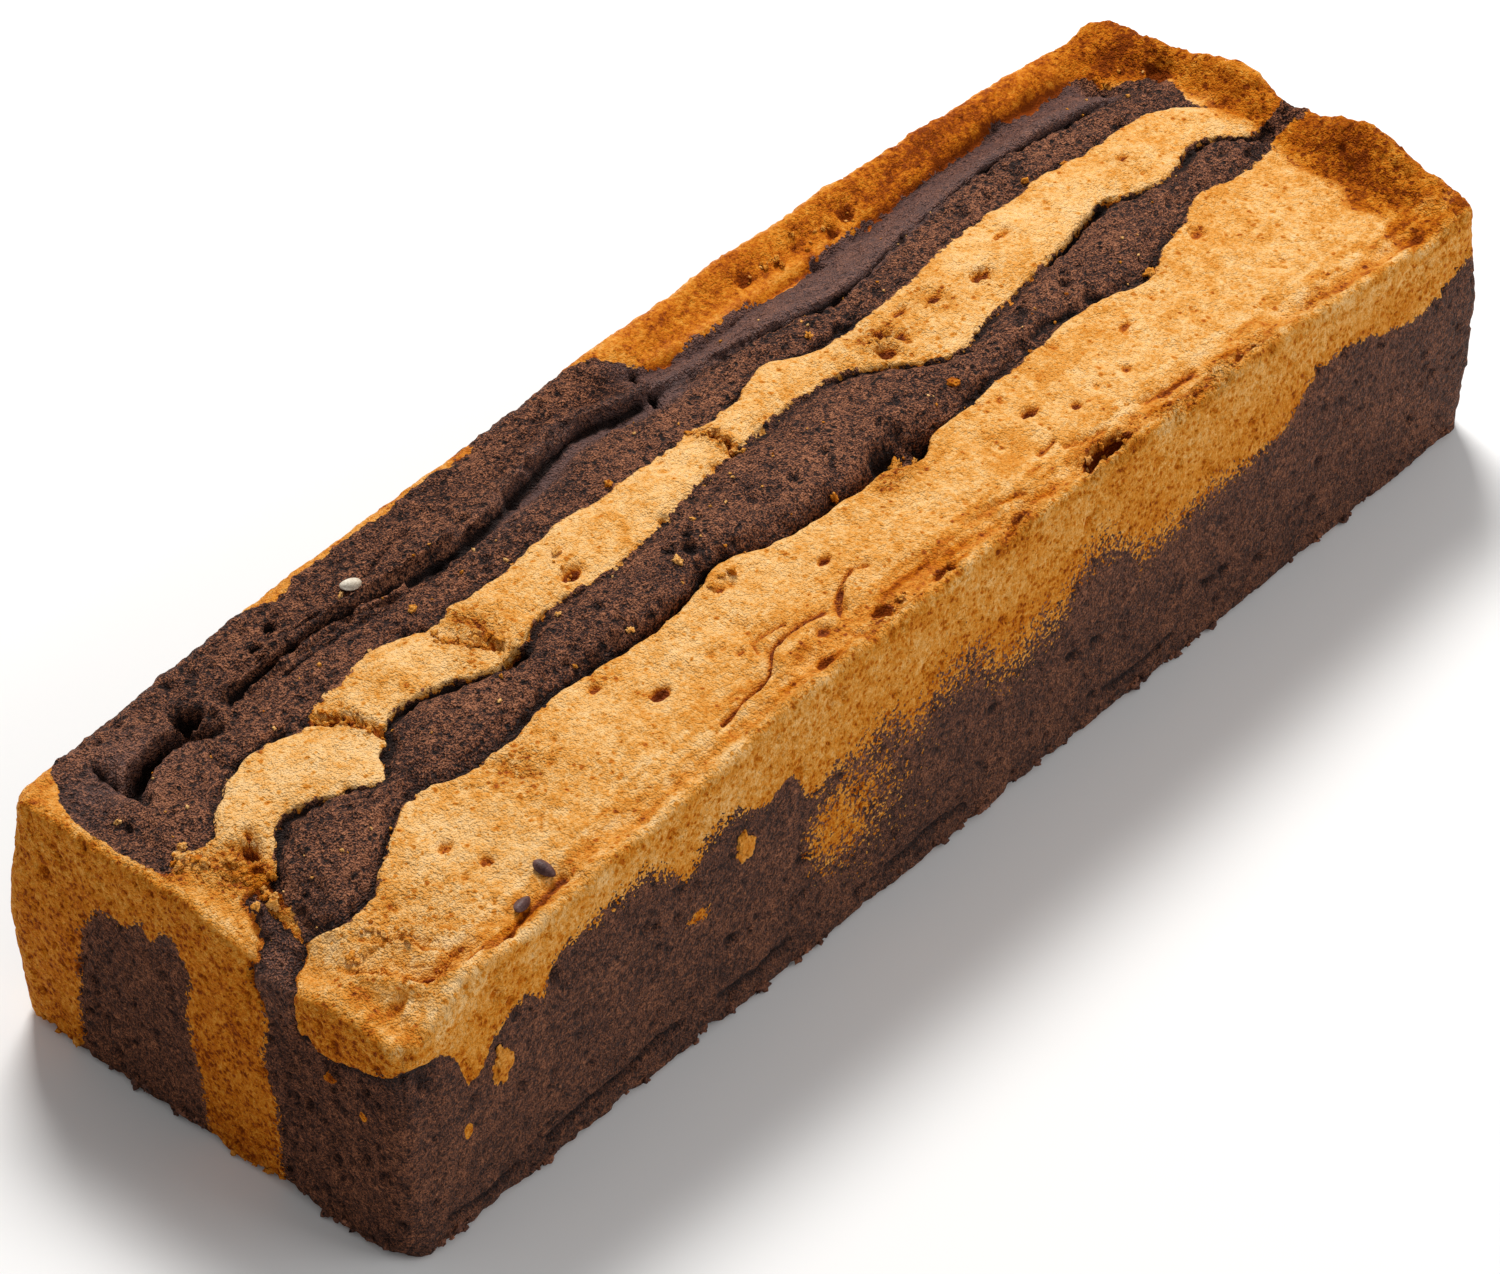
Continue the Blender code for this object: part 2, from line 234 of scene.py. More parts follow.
CREVICE = [(-115, 25), (-110, 27.6), (-102, 27.6), (-99, 25), (-89, 24)]
STRIPE_END = [(-112.3, 2.3), (-114.8, -4), (-116.8, -10), (-118.4, -14), (-121, -20)]
LOBES = [
    (-118.7, -5.2, 1.5, 2.4), (-119.6, -8.2, 1.5, 2.6), (-121.2, -12.2, 3, 3.2), (-124.5, -13.6, 3, 2.6)]
NEAR_CLOSE = [(6, -121), (12, -124), (22, -124.2), (27, -123.6), (40, -117)]
FAR_CLOSE = [(6, 115.5), (12, 115.4), (18, 118), (22, 117.6), (26, 113.2), (31, 112), (40, 112)]

stripe_lower, stripe_upper, centre_upper = map(smooth_line, (STRIPE_LOWER, STRIPE_UPPER, CENTRE_UPPER))
left_edge, fold, rim_inner, crevice = map(smooth_line, (LEFT_EDGE, FOLD, RIM_INNER, CREVICE))
near_close, far_close = map(smooth_line, (NEAR_CLOSE, FAR_CLOSE))


def chocolate_on_top(x, y):
    """Millimetres inside the chocolate's edge, seen from above: above 0 in chocolate, below 0 in vanilla."""
    stripe = np.minimum(y - stripe_lower(x), stripe_upper(x) - y)
    stripe = np.minimum(stripe, beside_path(x, y, STRIPE_END)[0])
    for lobe_x, lobe_y, along, across in LOBES:
        reach = np.hypot((x - lobe_x) / along, (y - lobe_y) / across)
        stripe = np.maximum(stripe, (1 - reach) * min(along, across))
    band = np.minimum(y - centre_upper(x), left_edge(x) - y)
    band = np.minimum(band, np.minimum(x - near_close(y), far_close(y) - x))
    return np.maximum(stripe, band)


print("chocolate at the middle of the stripe:", round(float(chocolate_on_top(0.0, -5.0)), 1), "mm inside")

# %% [markdown]
# ## Grooves, folds and cracks
# Chocolate batter is denser than vanilla, so it sinks at its edges, and the skin folds over and tears.
# The deep groove beside the stripe and the overhanging fold in the left band have a steep side and a soft
# side. Cracks are broken lines with a depth and a width. Holes and swellings are round spots.

# %% Depths along the lines, as (x, depth)
LOWER_GROOVE = [
    (-125, 0.4), (-112, 1.5), (-95, 1.2), (-60, 2), (-44, 3.2), (-28, 1.2), (-18, 3), (11, 4), (22, 2.4),
    (75, 1.2), (125, 0.3)]
UPPER_GROOVE = [
    (-125, 0.3), (-108, 1.3), (-90, 0.9), (-80, 1.5), (-62, 1.5), (-50, 0.8), (0, 0.5), (34, 1.2),
    (60, 0.8), (82, 1.6), (93, 0.7), (105, 1.8), (125, 0.2)]
FOLD_DROP = [
    (-125, 0), (-96, 0), (-75, 1.1), (-55, 1.7), (-15, 2.9), (-5, 2.8), (2, 1.5), (20, 1.4), (35, 2.2),
    (60, 1.3), (92, 2), (104, 1.4), (111, 0), (125, 0)]
FOLD_REACH = [(-125, 3), (-75, 2), (-50, 2.5), (-15, 6), (-5, 6), (8, 3.5), (125, 2.5)]
lower_groove, upper_groove = map(smooth_line, (LOWER_GROOVE, UPPER_GROOVE))
fold_drop, fold_reach = map(smooth_line, (FOLD_DROP, FOLD_REACH))

# %% Swellings and hollows, as (x, y, radius along, radius across, height)
SPOTS = [
    (-103, -7, 9, 6, 1.1), (-113, -1, 4.5, 5, -1.4), (-118.7, -5.2, 1.4, 2.2, 1.6),
    (-121.4, -12.4, 2.6, 2.8, 1.6), (-112, 2.6, 1.6, 2.4, -1), (-98, 32, 3, 1.2, 0.8),
    (-95.4, 26.6, 1.2, 2, 0.8), (-7, -33.6, 3, 2, -0.8), (11.5, -13, 4.5, 2, -3),
    (110.5, 27, 2.4, 4, -2.4), (33, -36.6, 4.5, 1.4, -1.6), (-113.5, 28, 1.3, 5, -1.3),
    (13, -10.5, 1.8, 1.4, -1.6), (36, -38.6, 4, 0.8, 0.9), (-34, -31.8, 6, 1.2, 0.5),
    (-12, -32, 4, 2.5, -0.6), (25, 4.8, 1.6, 0.9, 0.8)]

# %% Torn holes with steep sides, as (x, y, radius along, radius across, depth)
HOLES = [
    (-98.5, 28.6, 1.9, 1.9, 4.6), (-60.4, -1.6, 2.6, 1.3, 2.6), (-43, 4.1, 2, 1.3, 1.8),
    (-53, -22.3, 1.5, 0.9, 1.8), (30.5, -23, 1.6, 0.9, 1.4), (-16.5, -22.2, 1.3, 0.8, 1.1),
    (52, 4.2, 2, 0.9, 1.5), (27, 2.2, 1.8, 1.3, 2), (29.8, 6, 1.8, 0.9, 1.6), (31.5, 3.6, 1, 0.8, 1.2),
    (36.2, 7.6, 1.7, 0.7, 1.2), (8.6, -12.6, 3.4, 1.3, 2.4), (42, 5.4, 1.5, 0.7, 1.2),
    (85.5, -12.5, 1.6, 1.4, 1.1), (93.2, 8.7, 1.3, 0.8, 1), (62, 8.6, 1.5, 0.7, 0.9),
    (-82.2, 31, 1, 0.9, 1.4), (-77.5, 32.6, 0.9, 0.8, 1.2), (-43.5, 25.6, 1.1, 0.9, 1.2),
    (-47.5, 25.8, 0.8, 0.8, 1), (-26, -3.4, 1.2, 0.9, 1.5), (-30.5, -3.8, 0.9, 0.8, 1.3),
    (-28, -6, 1.1, 1, 1.5), (-6, -7.3, 1.2, 0.9, 1.5), (1.5, -7, 1, 0.8, 1.3),
    (-46.5, -4.5, 0.9, 0.9, 1.2), (49, -6.6, 1.3, 0.9, 1.1), (58.5, -7.2, 1.1, 0.9, 1),
    (35, -7, 0.9, 0.9, 1), (60, -11.5, 1.3, 1.4, 1.3), (58, -19.8, 1.7, 0.7, 0.9), (37, -27, 1, 0.8, 1),
    (49.5, -26.8, 1.2, 0.8, 0.9), (-119.4, -32.9, 1.6, 1, 1.4), (-18.4, -35, 2, 0.8, 1.4),
    (-6.1, -36.6, 2.4, 0.8, 1.4), (-27.8, -31.7, 1.6, 0.9, 1.2), (-32, -36, 1.6, 0.7, 1.1),
    (-112.2, 2.6, 1.1, 1.6, 2), (-113.6, -0.4, 1, 1, 1.6), (-110.6, 4.6, 0.9, 1.2, 1.4),
    (119.5, 22, 1.7, 2.6, 2.6), (-95, -19, 1.1, 0.8, 0.9), (-93, -25, 1, 0.8, 0.9),
    (-58.5, -14.5, 1, 0.7, 0.9), (-31.5, -15, 1.1, 0.7, 0.9), (-39.5, -26, 1, 0.7, 1),
    (29, 33.2, 1.6, 1, 1.3), (48.5, 31.6, 1.4, 1, 1.2), (53, 33, 1.6, 0.9, 1.3)]

# %% Cracks, as (depth, half width, path)
CRACKS = [
    (1.5, 0.6, [(-89.3, 13.8), (-87.6, 11), (-85.8, 9.5), (-85.3, 7), (-84.4, 5), (-84.6, 2.6)]),
    (0.9, 0.5, [(-65, 8.6), (-63.5, 5.5), (-62.4, 3), (-61, 1)]),
    (0.8, 0.5, [(-61, 11), (-59.5, 8), (-60.5, 5)]),
    (0.6, 0.5, [(4, -32.6), (10, -32.6), (16, -34)]),
    (0.8, 0.5, [(28, -31.8), (32, -32.9), (36, -33.5)]),
    (0.9, 0.4, [(24, -30.2), (28, -29.9)]),
    (0.7, 0.5, [(45, -33.3), (52, -34.3), (57, -34)]),
    (1.5, 0.7, [(27, -37.6), (29.5, -36.4), (33, -35.6), (35, -36.4), (38, -37)]),
    (1.1, 0.6, [(5, -38.6), (9, -37.6), (13, -36.6)]),
    (0.9, 0.5, [(45, -39.2), (50, -38.6), (56, -38)]),
    (0.9, 0.5, [(57, -36.6), (60, -38.8)]),
    (0.9, 0.5, [(62, -38), (66, -36.3)]),
    (1.3, 0.6, [(-113.6, 33), (-113.8, 28), (-114.2, 21.5)]),
    (1.0, 0.6, [(-102.4, 20), (-103, 17.2), (-101, 16), (-96, 15.8), (-91.5, 14.6)]),
    (0.8, 0.4, [(-101.4, 24.6), (-101.6, 21)]),
    (0.8, 0.5, [(15.6, 23.5), (19, 24.4)]),
    (0.7, 0.5, [(40, 24.8), (43, 27)]),
    (1.0, 0.6, [(45, -11.6), (50, -10.6), (55, -11.4)]),
    (0.9, 0.5, [(-112.8, -12.6), (-112, -10.4), (-112.9, -8)]),
    (0.9, 0.5, [(-66.6, 22.8), (-60, 20.9), (-52, 20.6)]),
    (0.6, 0.4, [(-62, 29), (-56, 30.4), (-50, 31.6)]),
    (0.6, 0.4, [(-80, -13.4), (-77.5, -14.6), (-79, -17.5), (-76.5, -19.5)]),
    (0.5, 0.4, [(-84, -27.5), (-82, -25.5)]),
    (0.9, 0.7, [(-101, -36.8), (-96, -35.6), (-88, -35.2)]),
    (1.0, 0.6, [(62, -1.4), (70, 0.2), (76, 2)]),
    (0.8, 0.5, [(20, 12), (26, 11.6), (31, 11.6)]),
    (0.8, 0.6, [(1, 12.9), (5, 13.2)])]
print(len(SPOTS), "spots and", len(CRACKS), "cracks")

# %% Thin creases, as (height, half width, path), where a height below 0 is a groove
CREASES = [
    (1.5, 0.36, [(-93, 27.4), (-80, 27.1), (-72, 26.9), (-64, 25.7), (-55, 24), (-48, 23.8)]),
    (1.3, 0.36, [(-90, 24.8), (-76, 24.6), (-68, 23.8), (-60, 22.2)]),
    (-1.4, 0.5, [(-92, 26.1), (-78, 25.9), (-70, 25.4), (-62, 23.8), (-52, 22.4)]),
    (-1.0, 0.5, [(-84, 28.6), (-74, 28.3), (-66, 27.2), (-58, 25.6), (-50, 25.2)]),
    (-0.8, 0.5, [(-84, 23), (-72, 22.4), (-62, 20.6), (-50, 19.6)]),
    (0.5, 0.5, [(-40, 25.6), (-30, 27), (-20, 29), (-12, 29.4)]),
    (0.4, 0.4, [(-112, 24), (-104, 24.8), (-96, 24)]),
    (0.6, 0.5, [(27.6, -38.4), (33, -37.2), (38, -38.2)]),
    (0.5, 0.4, [(44, -38), (50, -37.4), (56, -36.6)]),
    (0.6, 0.5, [(-48, -38.2), (-31, -37.8), (-20, -37.3), (-11, -38.3), (-3, -38.4), (6, -37.6)]),
    (0.5, 0.6, [(60, -38.4), (75, -37.8), (92, -38.3), (108, -38.2)])]

# %% Wrinkles: the skin on a path's left is pushed up over that on its right, as (rise, groove, reach, path)
WRINKLES = [
    (1.0, 0.9, 3.0, [(-12.9, -27.4), (-16, -26.8), (-18.7, -27.7), (-21.6, -29.6), (-23.8, -31.5)]),
    (1.0, 1.0, 3.0, [(-24.4, -29.3), (-29.7, -28.7), (-32.6, -28.9), (-36.4, -29.4), (-38.4, -31.2),
        (-40.2, -32.6), (-43, -32.8), (-52, -33.4)]),
    (0.6, 0.8, 2.0, [(-30.7, -26.9), (-33.5, -26.2), (-36.8, -26), (-37.9, -27.9)]),
    (0.9, 0.35, 2.6, [(-107.7, -33.5), (-110.5, -29.6), (-110.6, -26.7), (-113.9, -23.2),
        (-114.7, -19.8)]),
    (0.7, 0.25, 2.4, [(-100, -33.4), (-104.6, -31.6), (-106.6, -27.8), (-110, -22.4)]),
    (1.9, 0.5, 3.6, [(-99.7, -37.2), (-103.8, -36.8), (-109.7, -36), (-114.4, -34), (-116.5, -30.2),
        (-119.1, -24), (-119, -20.8)]),
    (0.8, 1.4, 2.0, [(-6.8, 4.2), (-5.6, 6.3), (-6.7, 8.3), (-5.9, 10.4), (-7.2, 12.2)]),
    (1.0, 1.5, 3.0, [(-4.2, 19.5), (-3.4, 22.2), (-2, 25), (-0.4, 28), (0.8, 31.5)])]
WRINKLE_EDGE = 0.5

# %% Grooves and the fold, with widths as (steep side, soft side)
LOWER_SIDES = (0.5, 2.4)
UPPER_SIDES = (0.4, 1.6)
RIM_SIDES = (0.9, 3.5)
CREVICE_SIDES = (0.9, 2.1)
CENTRE_GROOVE = 0.5
CENTRE_VARIES = 0.35
RIM_GROOVE = 1.7
CREVICE_DEPTH = 5.6
FOLD_LIP = 0.3
FOLD_LIP_WIDTH = 1.6
FOLD_STEEPNESS = 1.1
PLAIN_END = 3.0
END_FADE = 8.0


def groove_inside(inward, sides):
    """A groove that starts at a line: steep towards the line, soft on its inner side."""
    return dip(inward - sides[0], *sides)


def marbling_relief(x, y):
    """Grooves beside the stripes, and the fold of the left chocolate band."""
    z = lower_groove(x) * groove_inside(y - stripe_lower(x), LOWER_SIDES)
    z += upper_groove(x) * groove_inside(stripe_upper(x) - y, UPPER_SIDES)
    z += (CENTRE_GROOVE + CENTRE_VARIES * np.sin(x / 11)) * groove_inside(y - centre_upper(x), UPPER_SIDES)
    below = fold(x) - y
    reach = fold_reach(x)
    lip = FOLD_LIP * bell(below + FOLD_LIP_WIDTH, FOLD_LIP_WIDTH)
    sunk = ease(0.5 + below / FOLD_STEEPNESS) * (1 - ease((below - 0.4 * reach) / (0.8 * reach)))
    z += fold_drop(x) * (lip - sunk)
    z += RIM_GROOVE * window(x, -4, 112, 8, 6) * dip(rim_inner(x) - y, *RIM_SIDES)
    z += CREVICE_DEPTH * window(x, -115, -94, 3, 7) * dip(crevice(x) - y, *CREVICE_SIDES)
    return z * ease((HALF_LENGTH - np.abs(x) - PLAIN_END) / END_FADE)


# %% Rims and valleys along the edges, with places as (middle, width)
TROUGH = (30, 6)
TROUGH_DEPTH = 0.6
TROUGH_DEEPER = 1.6
VALLEY = (-35, 2.0)
VALLEY_DEPTH = 1.1
OUTER_CREST = (-38.1, 1.0)
CREST_LIFT = 0.4
NEAR_LIP = (-124, 0.8)
NEAR_VALLEY = (-121.2, 1.5)
NEAR_RELIEF = 1.1


def edge_relief(x, y):
    """The trough inside the left rim, the rim itself, and the valley inside the right ridge."""
    raised = ease((x + 20) / 20)
    z = -(TROUGH_DEPTH + TROUGH_DEEPER * raised) * strip(y, TROUGH)
    z += LEFT_RIM_RISE * raised * ease((y - 31) / 6)
    uneven = 0.6 + 0.4 * np.sin(x / 9) * np.sin(x / 23 + 1)
    z -= VALLEY_DEPTH * uneven * strip(y + np.sin(x / 13), VALLEY) - CREST_LIFT * strip(y, OUTER_CREST)
    return z + NEAR_RELIEF * (strip(x, NEAR_LIP) - strip(x, NEAR_VALLEY))


# %% The height of the top
STRIPE_BULGE = 1.1
CENTRE_BULGE = 0.6
SLIT_DEPTH = 2.8
SLIT = (0.7, 0.85)
TORN_EDGE = 0.35
FOOT_GROOVE = 0.4
FOOT_GROOVE_WIDTH = 1.8


def bulge(x, y, lower, upper, height):
    """A low rounded ridge between two lines."""
    start, end = lower(x), upper(x)
    across = (2 * y - start - end) / (end - start)
    return height * np.clip(1 - across**2, 0, 1)


def slit(x):
    """Depth of the black slit beside the stripe, where the vanilla hangs over the chocolate."""
    return SLIT_DEPTH * (window(x, -48, -17, 5, 4) + window(x, -16, 24, 4, 6))


def top_height(x, y):
    """Height of the top above the foot, before its outer edge is rounded."""
    z = dome(x, y) + edge_relief(x, y) + marbling_relief(x, y)
    z += bulge(x, y, stripe_lower, stripe_upper, STRIPE_BULGE) * ease((HALF_LENGTH - 8 - np.abs(x)) / 8)
    z += bulge(x, y, stripe_upper, centre_upper, CENTRE_BULGE)
    z -= slit(x) * strip(y - stripe_lower(x), SLIT)
    for spot in SPOTS:
        z = z + bump_at(x, y, spot)
    for hole_x, hole_y, along, across, depth in HOLES:
        away = ((x - hole_x) / along) ** 2 + ((y - hole_y) / across) ** 2
        torn = 1 + TORN_EDGE * np.sin(2.3 * x + hole_y) * np.sin(2.9 * y - hole_x)
        z = z - depth * bell(away * torn, 1)
    z = near_rim(y) + (z - near_rim(y)) * ease((x + HALF_LENGTH) / NEAR_SLOPE)
    foot = far_foot(y)
    z = z + (far_rim(y) - z) * ease((x - foot) / (HALF_LENGTH - FAR_CREST_INSET - foot))
    z = z - FOOT_GROOVE * bell(x - foot, FOOT_GROOVE_WIDTH) * ease((-y - 2) / 6)
    for depth, width, path in CRACKS:
        z = z - depth * bell(distance_to_path(x, y, path), width)
    for height, width, path in CREASES:
        z = z + height * bell(distance_to_path(x, y, path), width)
    for rise, groove, reach, path in WRINKLES:
        beside, along = beside_path(x, y, path)
        pushed = rise * ease(beside / WRINKLE_EDGE) * bell(beside, reach)
        z = z + pushed * ease(along * 4) * ease((1 - along) * 4)
        z = z - groove * bell(beside, WRINKLE_EDGE)
    return z


print("height beside the deep groove:", round(float(top_height(0.0, -15.0)), 1), "mm")

# %% [markdown]
# ## Where the two batters meet on the walls
# The long side is vanilla above and chocolate below. The near end shows upright stripes, because the
# batters were poured in beside each other. Each wall gets its own field: millimetres inside the
# chocolate.

# %% Chocolate on the right side, as (x, z), and on the hidden left side
RIGHT_SIDE = [
    (-128, 38.1), (-121, 38.3), (-117.8, 37.4), (-115.6, 35), (-113.5, 29), (-111.5, 29.4), (-108.5, 33.6),
    (-104, 36.3), (-100, 36.4), (-97.6, 34.4), (-95.5, 38), (-90, 40.1), (-80, 41), (-73.5, 40.9),
    (-70, 38), (-67.2, 34.8), (-65, 37), (-61, 39.8), (-57, 40.2), (-53, 39), (-50, 37.4), (-46.5, 39),
    (-43, 38), (-41, 33.5), (-37, 33), (-34, 34.6), (-30, 33.4), (-23, 35), (-17.8, 31.6), (-10, 33.8),
    (-1, 33.6), (3, 29.4), (8, 28.4), (13, 30.4), (19, 31), (22, 35), (29, 36.3), (33, 34.6), (38, 29.5),
    (44, 29.4), (55, 30.8), (69, 30.8), (76, 33), (80, 36.6), (86, 38.4), (93, 37.2), (102, 34.3),
    (110, 33), (118, 35.4), (128, 39)]
LEFT_SIDE = [
    (-128, -4), (-121, 4), (-117, 36), (-113, 60), (-82, 60), (-76, 44), (-60, 42), (-45, 44), (-33, 46),
    (-28, 60), (-12, 60), (-5, 42), (10, 34), (28, 30), (50, 33), (70, 28), (92, 31), (112, 28), (128, 20)]
right_side, left_side = map(smooth_line, (RIGHT_SIDE, LEFT_SIDE))
PATCHES = [(-33.5, 23, 6.5, 6), (-64.8, 26.4, 1.7, 1.1), (-114, 20, 0.9, 1.6)]
SPECKS = [(-25.4, 29.4, 1.1), (-31.7, 26, 0.8)]


def chocolate_on_sides(x, y, z):
    """Millimetres inside the chocolate on the long walls. The right one has patches of vanilla."""
    right = right_side(x) - z
    for patch_x, patch_z, rx, rz in PATCHES:
        right = np.minimum(right, (np.hypot((x - patch_x) / rx, (z - patch_z) / rz) - 1) * 3)
    return np.where(y < 0, right, left_side(x) - z)


# %% Chocolate on the two ends, across the loaf from the right corner to the left one
FIRST_LEFT = [(0, -26.2), (14.5, -25.3), (25.5, -24), (32, -21.4), (36, -17)]
FIRST_RIGHT = [(0, -0.5), (11.5, -0.3), (18, -1.5), (23.5, -2.4), (31.5, -1.5), (38, -3)]
FIRST_TOP = [
    (-26, 30), (-21, 32.4), (-19, 33.2), (-14, 33.8), (-11.8, 35.9), (-9.8, 33.6), (-7, 36.8), (-4, 35.2),
    (-1.5, 31.5), (2, 27)]
SECOND_LEFT = [(0, 15.4), (8.5, 15), (18, 14.8), (24, 12.6), (33.5, 12.9), (37, 10.6), (50, 9.5)]
SECOND_TOP = [(10, 56), (17.3, 54), (18.8, 38), (21.6, 34.6), (30, 34.6), (33.5, 35.4), (41, 38.7)]
first_left, first_right, first_top = map(smooth_line, (FIRST_LEFT, FIRST_RIGHT, FIRST_TOP))
second_left, second_top = map(smooth_line, (SECOND_LEFT, SECOND_TOP))


def chocolate_on_near_end(y, z):
    """Two upright chocolate stripes. The second one climbs over the rim in a narrow tongue."""
    across = -y
    first = np.minimum(np.minimum(across - first_left(z), first_right(z) - across), first_top(across) - z)
    second = np.minimum(across - second_left(z), second_top(across) - z)
    for speck_y, speck_z, radius in SPECKS:
        second = np.minimum(second, (np.hypot(y - speck_y, z - speck_z) / radius - 1) * 3)
    return np.maximum(first, second)


def chocolate_on_far_end(y, z):
    """The hidden end: one stripe comes down from the notch, and chocolate fills the two lower corners."""
    stripe = 3.5 + 0.16 * (48 - z) - np.abs(y + 2 + 1.5 * np.sin(z / 9))
    corners = np.minimum(np.abs(y + 3) - 17 - 2 * np.sin(z / 7), 33 + 2 * np.sin(y / 5) - z)
    return np.maximum(stripe, corners)


# %% [markdown]
# ## A fine grid over the loaf
# Rows of the grid follow the marbling, so that no groove cuts across the mesh in steps. The corners are
# rounded in plan, the top's edge is rounded in section, and rings go down the wall to one flat foot.

# %% Grid helpers
ROW_PITCH = 0.5
FINE_PITCH = 0.26
STATIONS = 470
RINGS = 56
EDGE_STEPS = (0, 0.25, 0.8, 1.6, 2.6)
FINE_STRIPS = [
    (stripe_lower, 0.7, 1.1), (stripe_upper, 1.1, 0.7), (centre_upper, 0.5, 0.9), (fold, 3.4, 2.2),
    (rim_inner, 0.9, 0.5)]


def rounded_plan(x, y):
    """Moves points near the four upright edges so that the outline from above has round corners."""
    u = (np.abs(x) - HALF_LENGTH + CORNER_RADIUS) / CORNER_RADIUS
    v = (np.abs(y) - HALF_WIDTH + CORNER_RADIUS) / CORNER_RADIUS
    corner = (u > 0) & (v > 0)
    reach = np.maximum(u, v)
    small = np.where(corner, np.minimum(u, v), 0)
    turn = np.pi / 4 * small / np.where(corner, reach, 1)
    turn = np.where(u >= v, turn, np.pi / 2 - turn)
    rx = np.sign(x) * (HALF_LENGTH - CORNER_RADIUS + CORNER_RADIUS * reach * np.cos(turn))
    ry = np.sign(y) * (HALF_WIDTH - CORNER_RADIUS + CORNER_RADIUS * reach * np.sin(turn))
    return np.where(corner, rx, x), np.where(corner, ry, y)


def edge_drop(inset, radius):
    """How far a rounded edge lies below the top at some distance inside the outline."""
    left = np.clip(radius - inset, 0, radius)
    return radius - np.sqrt(radius**2 - left**2)


def outward(x, y):
    """The level direction that points out of the wall at points of the outline."""
    dx = x - np.clip(x, CORNER_RADIUS - HALF_LENGTH, HALF_LENGTH - CORNER_RADIUS)
    dy = y - np.clip(y, CORNER_RADIUS - HALF_WIDTH, HALF_WIDTH - CORNER_RADIUS)
    size = np.maximum(np.hypot(dx, dy), 1e-9)
    return dx / size, dy / size


def row_positions(x):
    """The Y of every row at the stations x, spread evenly between lines that run along the top."""
    edge = [np.full_like(x, -HALF_WIDTH + step) for step in EDGE_STEPS]
    guides = [edge[-1]]
    for line, before, after in FINE_STRIPS:
        guides += [line(x) - before, line(x) + after]
    guides.append(np.full_like(x, HALF_WIDTH - EDGE_STEPS[-1]))
    rows = list(edge)
    for gap, (start, end) in enumerate(zip(guides, guides[1:])):
        pitch = FINE_PITCH if gap % 2 else ROW_PITCH
        count = round(float(np.mean(end - start)) / pitch)
        rows += [start + (end - start) * (i + 1) / count for i in range(count)]
    rows += [np.full_like(x, HALF_WIDTH - step) for step in EDGE_STEPS[-2::-1]]
    return np.array(rows)


stations = np.linspace(-HALF_LENGTH + EDGE_STEPS[-1], HALF_LENGTH - EDGE_STEPS[-1], STATIONS)
stations = np.concatenate([-HALF_LENGTH + np.array(EDGE_STEPS[:-1]), stations,
                           HALF_LENGTH - np.array(EDGE_STEPS[-2::-1])])
grid_y = row_positions(stations)
grid_x = np.broadcast_to(stations, grid_y.shape)
print("top grid:", grid_y.shape[0], "rows by", grid_y.shape[1], "stations")

# %% The top's points
inset_x = HALF_LENGTH - np.abs(grid_x)
inset_y = HALF_WIDTH - np.abs(grid_y)
top_x, top_y = rounded_plan(grid_x, grid_y)
left_radius = LEFT_EDGE_RADIUS + (TOP_EDGE_RADIUS - LEFT_EDGE_RADIUS) * ease((top_x + 20) / 20)
top_z = top_height(top_x, top_y)
top_z = top_z - edge_drop(inset_x, np.where(grid_x < 0, NEAR_EDGE_RADIUS, TOP_EDGE_RADIUS))
top_z = top_z - edge_drop(inset_y, np.where(grid_y > 0, left_radius, RIGHT_EDGE_RADIUS))
print("top spans", round(float(top_z.min()), 1), "to", round(float(top_z.max()), 1), "mm")

# %% The wall's points, ring by ring
row_count, station_count = grid_y.shape
last_row, last_station = row_count - 1, station_count - 1
around = [(0, i) for i in range(last_station)]
around += [(j, last_station) for j in range(last_row)]
around += [(last_row, i) for i in range(last_station, 0, -1)]
around += [(j, 0) for j in range(last_row, 0, -1)]
rim_rows, rim_stations = np.array(around).T
rim_x, rim_y, rim_z = (a[rim_rows, rim_stations] for a in (top_x, top_y, top_z))
out_x, out_y = outward(rim_x, rim_y)
upright = 4 * (out_x * out_y) ** 2
part = ((np.arange(RINGS) + 1) / RINGS)[:, None]
wall_z = BOTTOM_EDGE_RADIUS + (rim_z - BOTTOM_EDGE_RADIUS) * (1 - part)
swell = (WALL_SWELL + CORNER_SWELL * upright) * ease(part / SWELL_REACH)
swell = swell - (FOOT_TUCK + WALL_SWELL * upright) * part**3
wall_x = rim_x + out_x * swell
wall_y = rim_y + out_y * swell
foot_x = wall_x[-1] - out_x * BOTTOM_EDGE_RADIUS
foot_y = wall_y[-1] - out_y * BOTTOM_EDGE_RADIUS
print("wall rings:", RINGS, "with", len(rim_x), "points each")

# %% Join the grids into one closed mesh
top_index = np.arange(row_count * station_count).reshape(row_count, station_count)
ring_index = [top_index[rim_rows, rim_stations]]
for ring in range(RINGS + 1):
    ring_index.append(top_index.size + ring * len(rim_x) + np.arange(len(rim_x)))
points = np.concatenate([np.stack([top_x, top_y, top_z], -1).reshape(-1, 3),
                         np.stack([wall_x, wall_y, wall_z], -1).reshape(-1, 3),
                         np.stack([foot_x, foot_y, np.zeros_like(foot_x)], -1)])
quads = [top_index[:-1, :-1], top_index[:-1, 1:], top_index[1:, 1:], top_index[1:, :-1]]
quads = np.stack(quads, -1).reshape(-1, 4)
wall_quads = [np.stack([a, b, np.roll(b, -1), np.roll(a, -1)], -1)
              for a, b in zip(ring_index, ring_index[1:])]
faces = quads.tolist() + np.concatenate(wall_quads).tolist() + [ring_index[-1][::-1].tolist()]
print(len(points), "points,", 2 * (len(faces) - 1) + len(rim_x) - 2, "triangles")

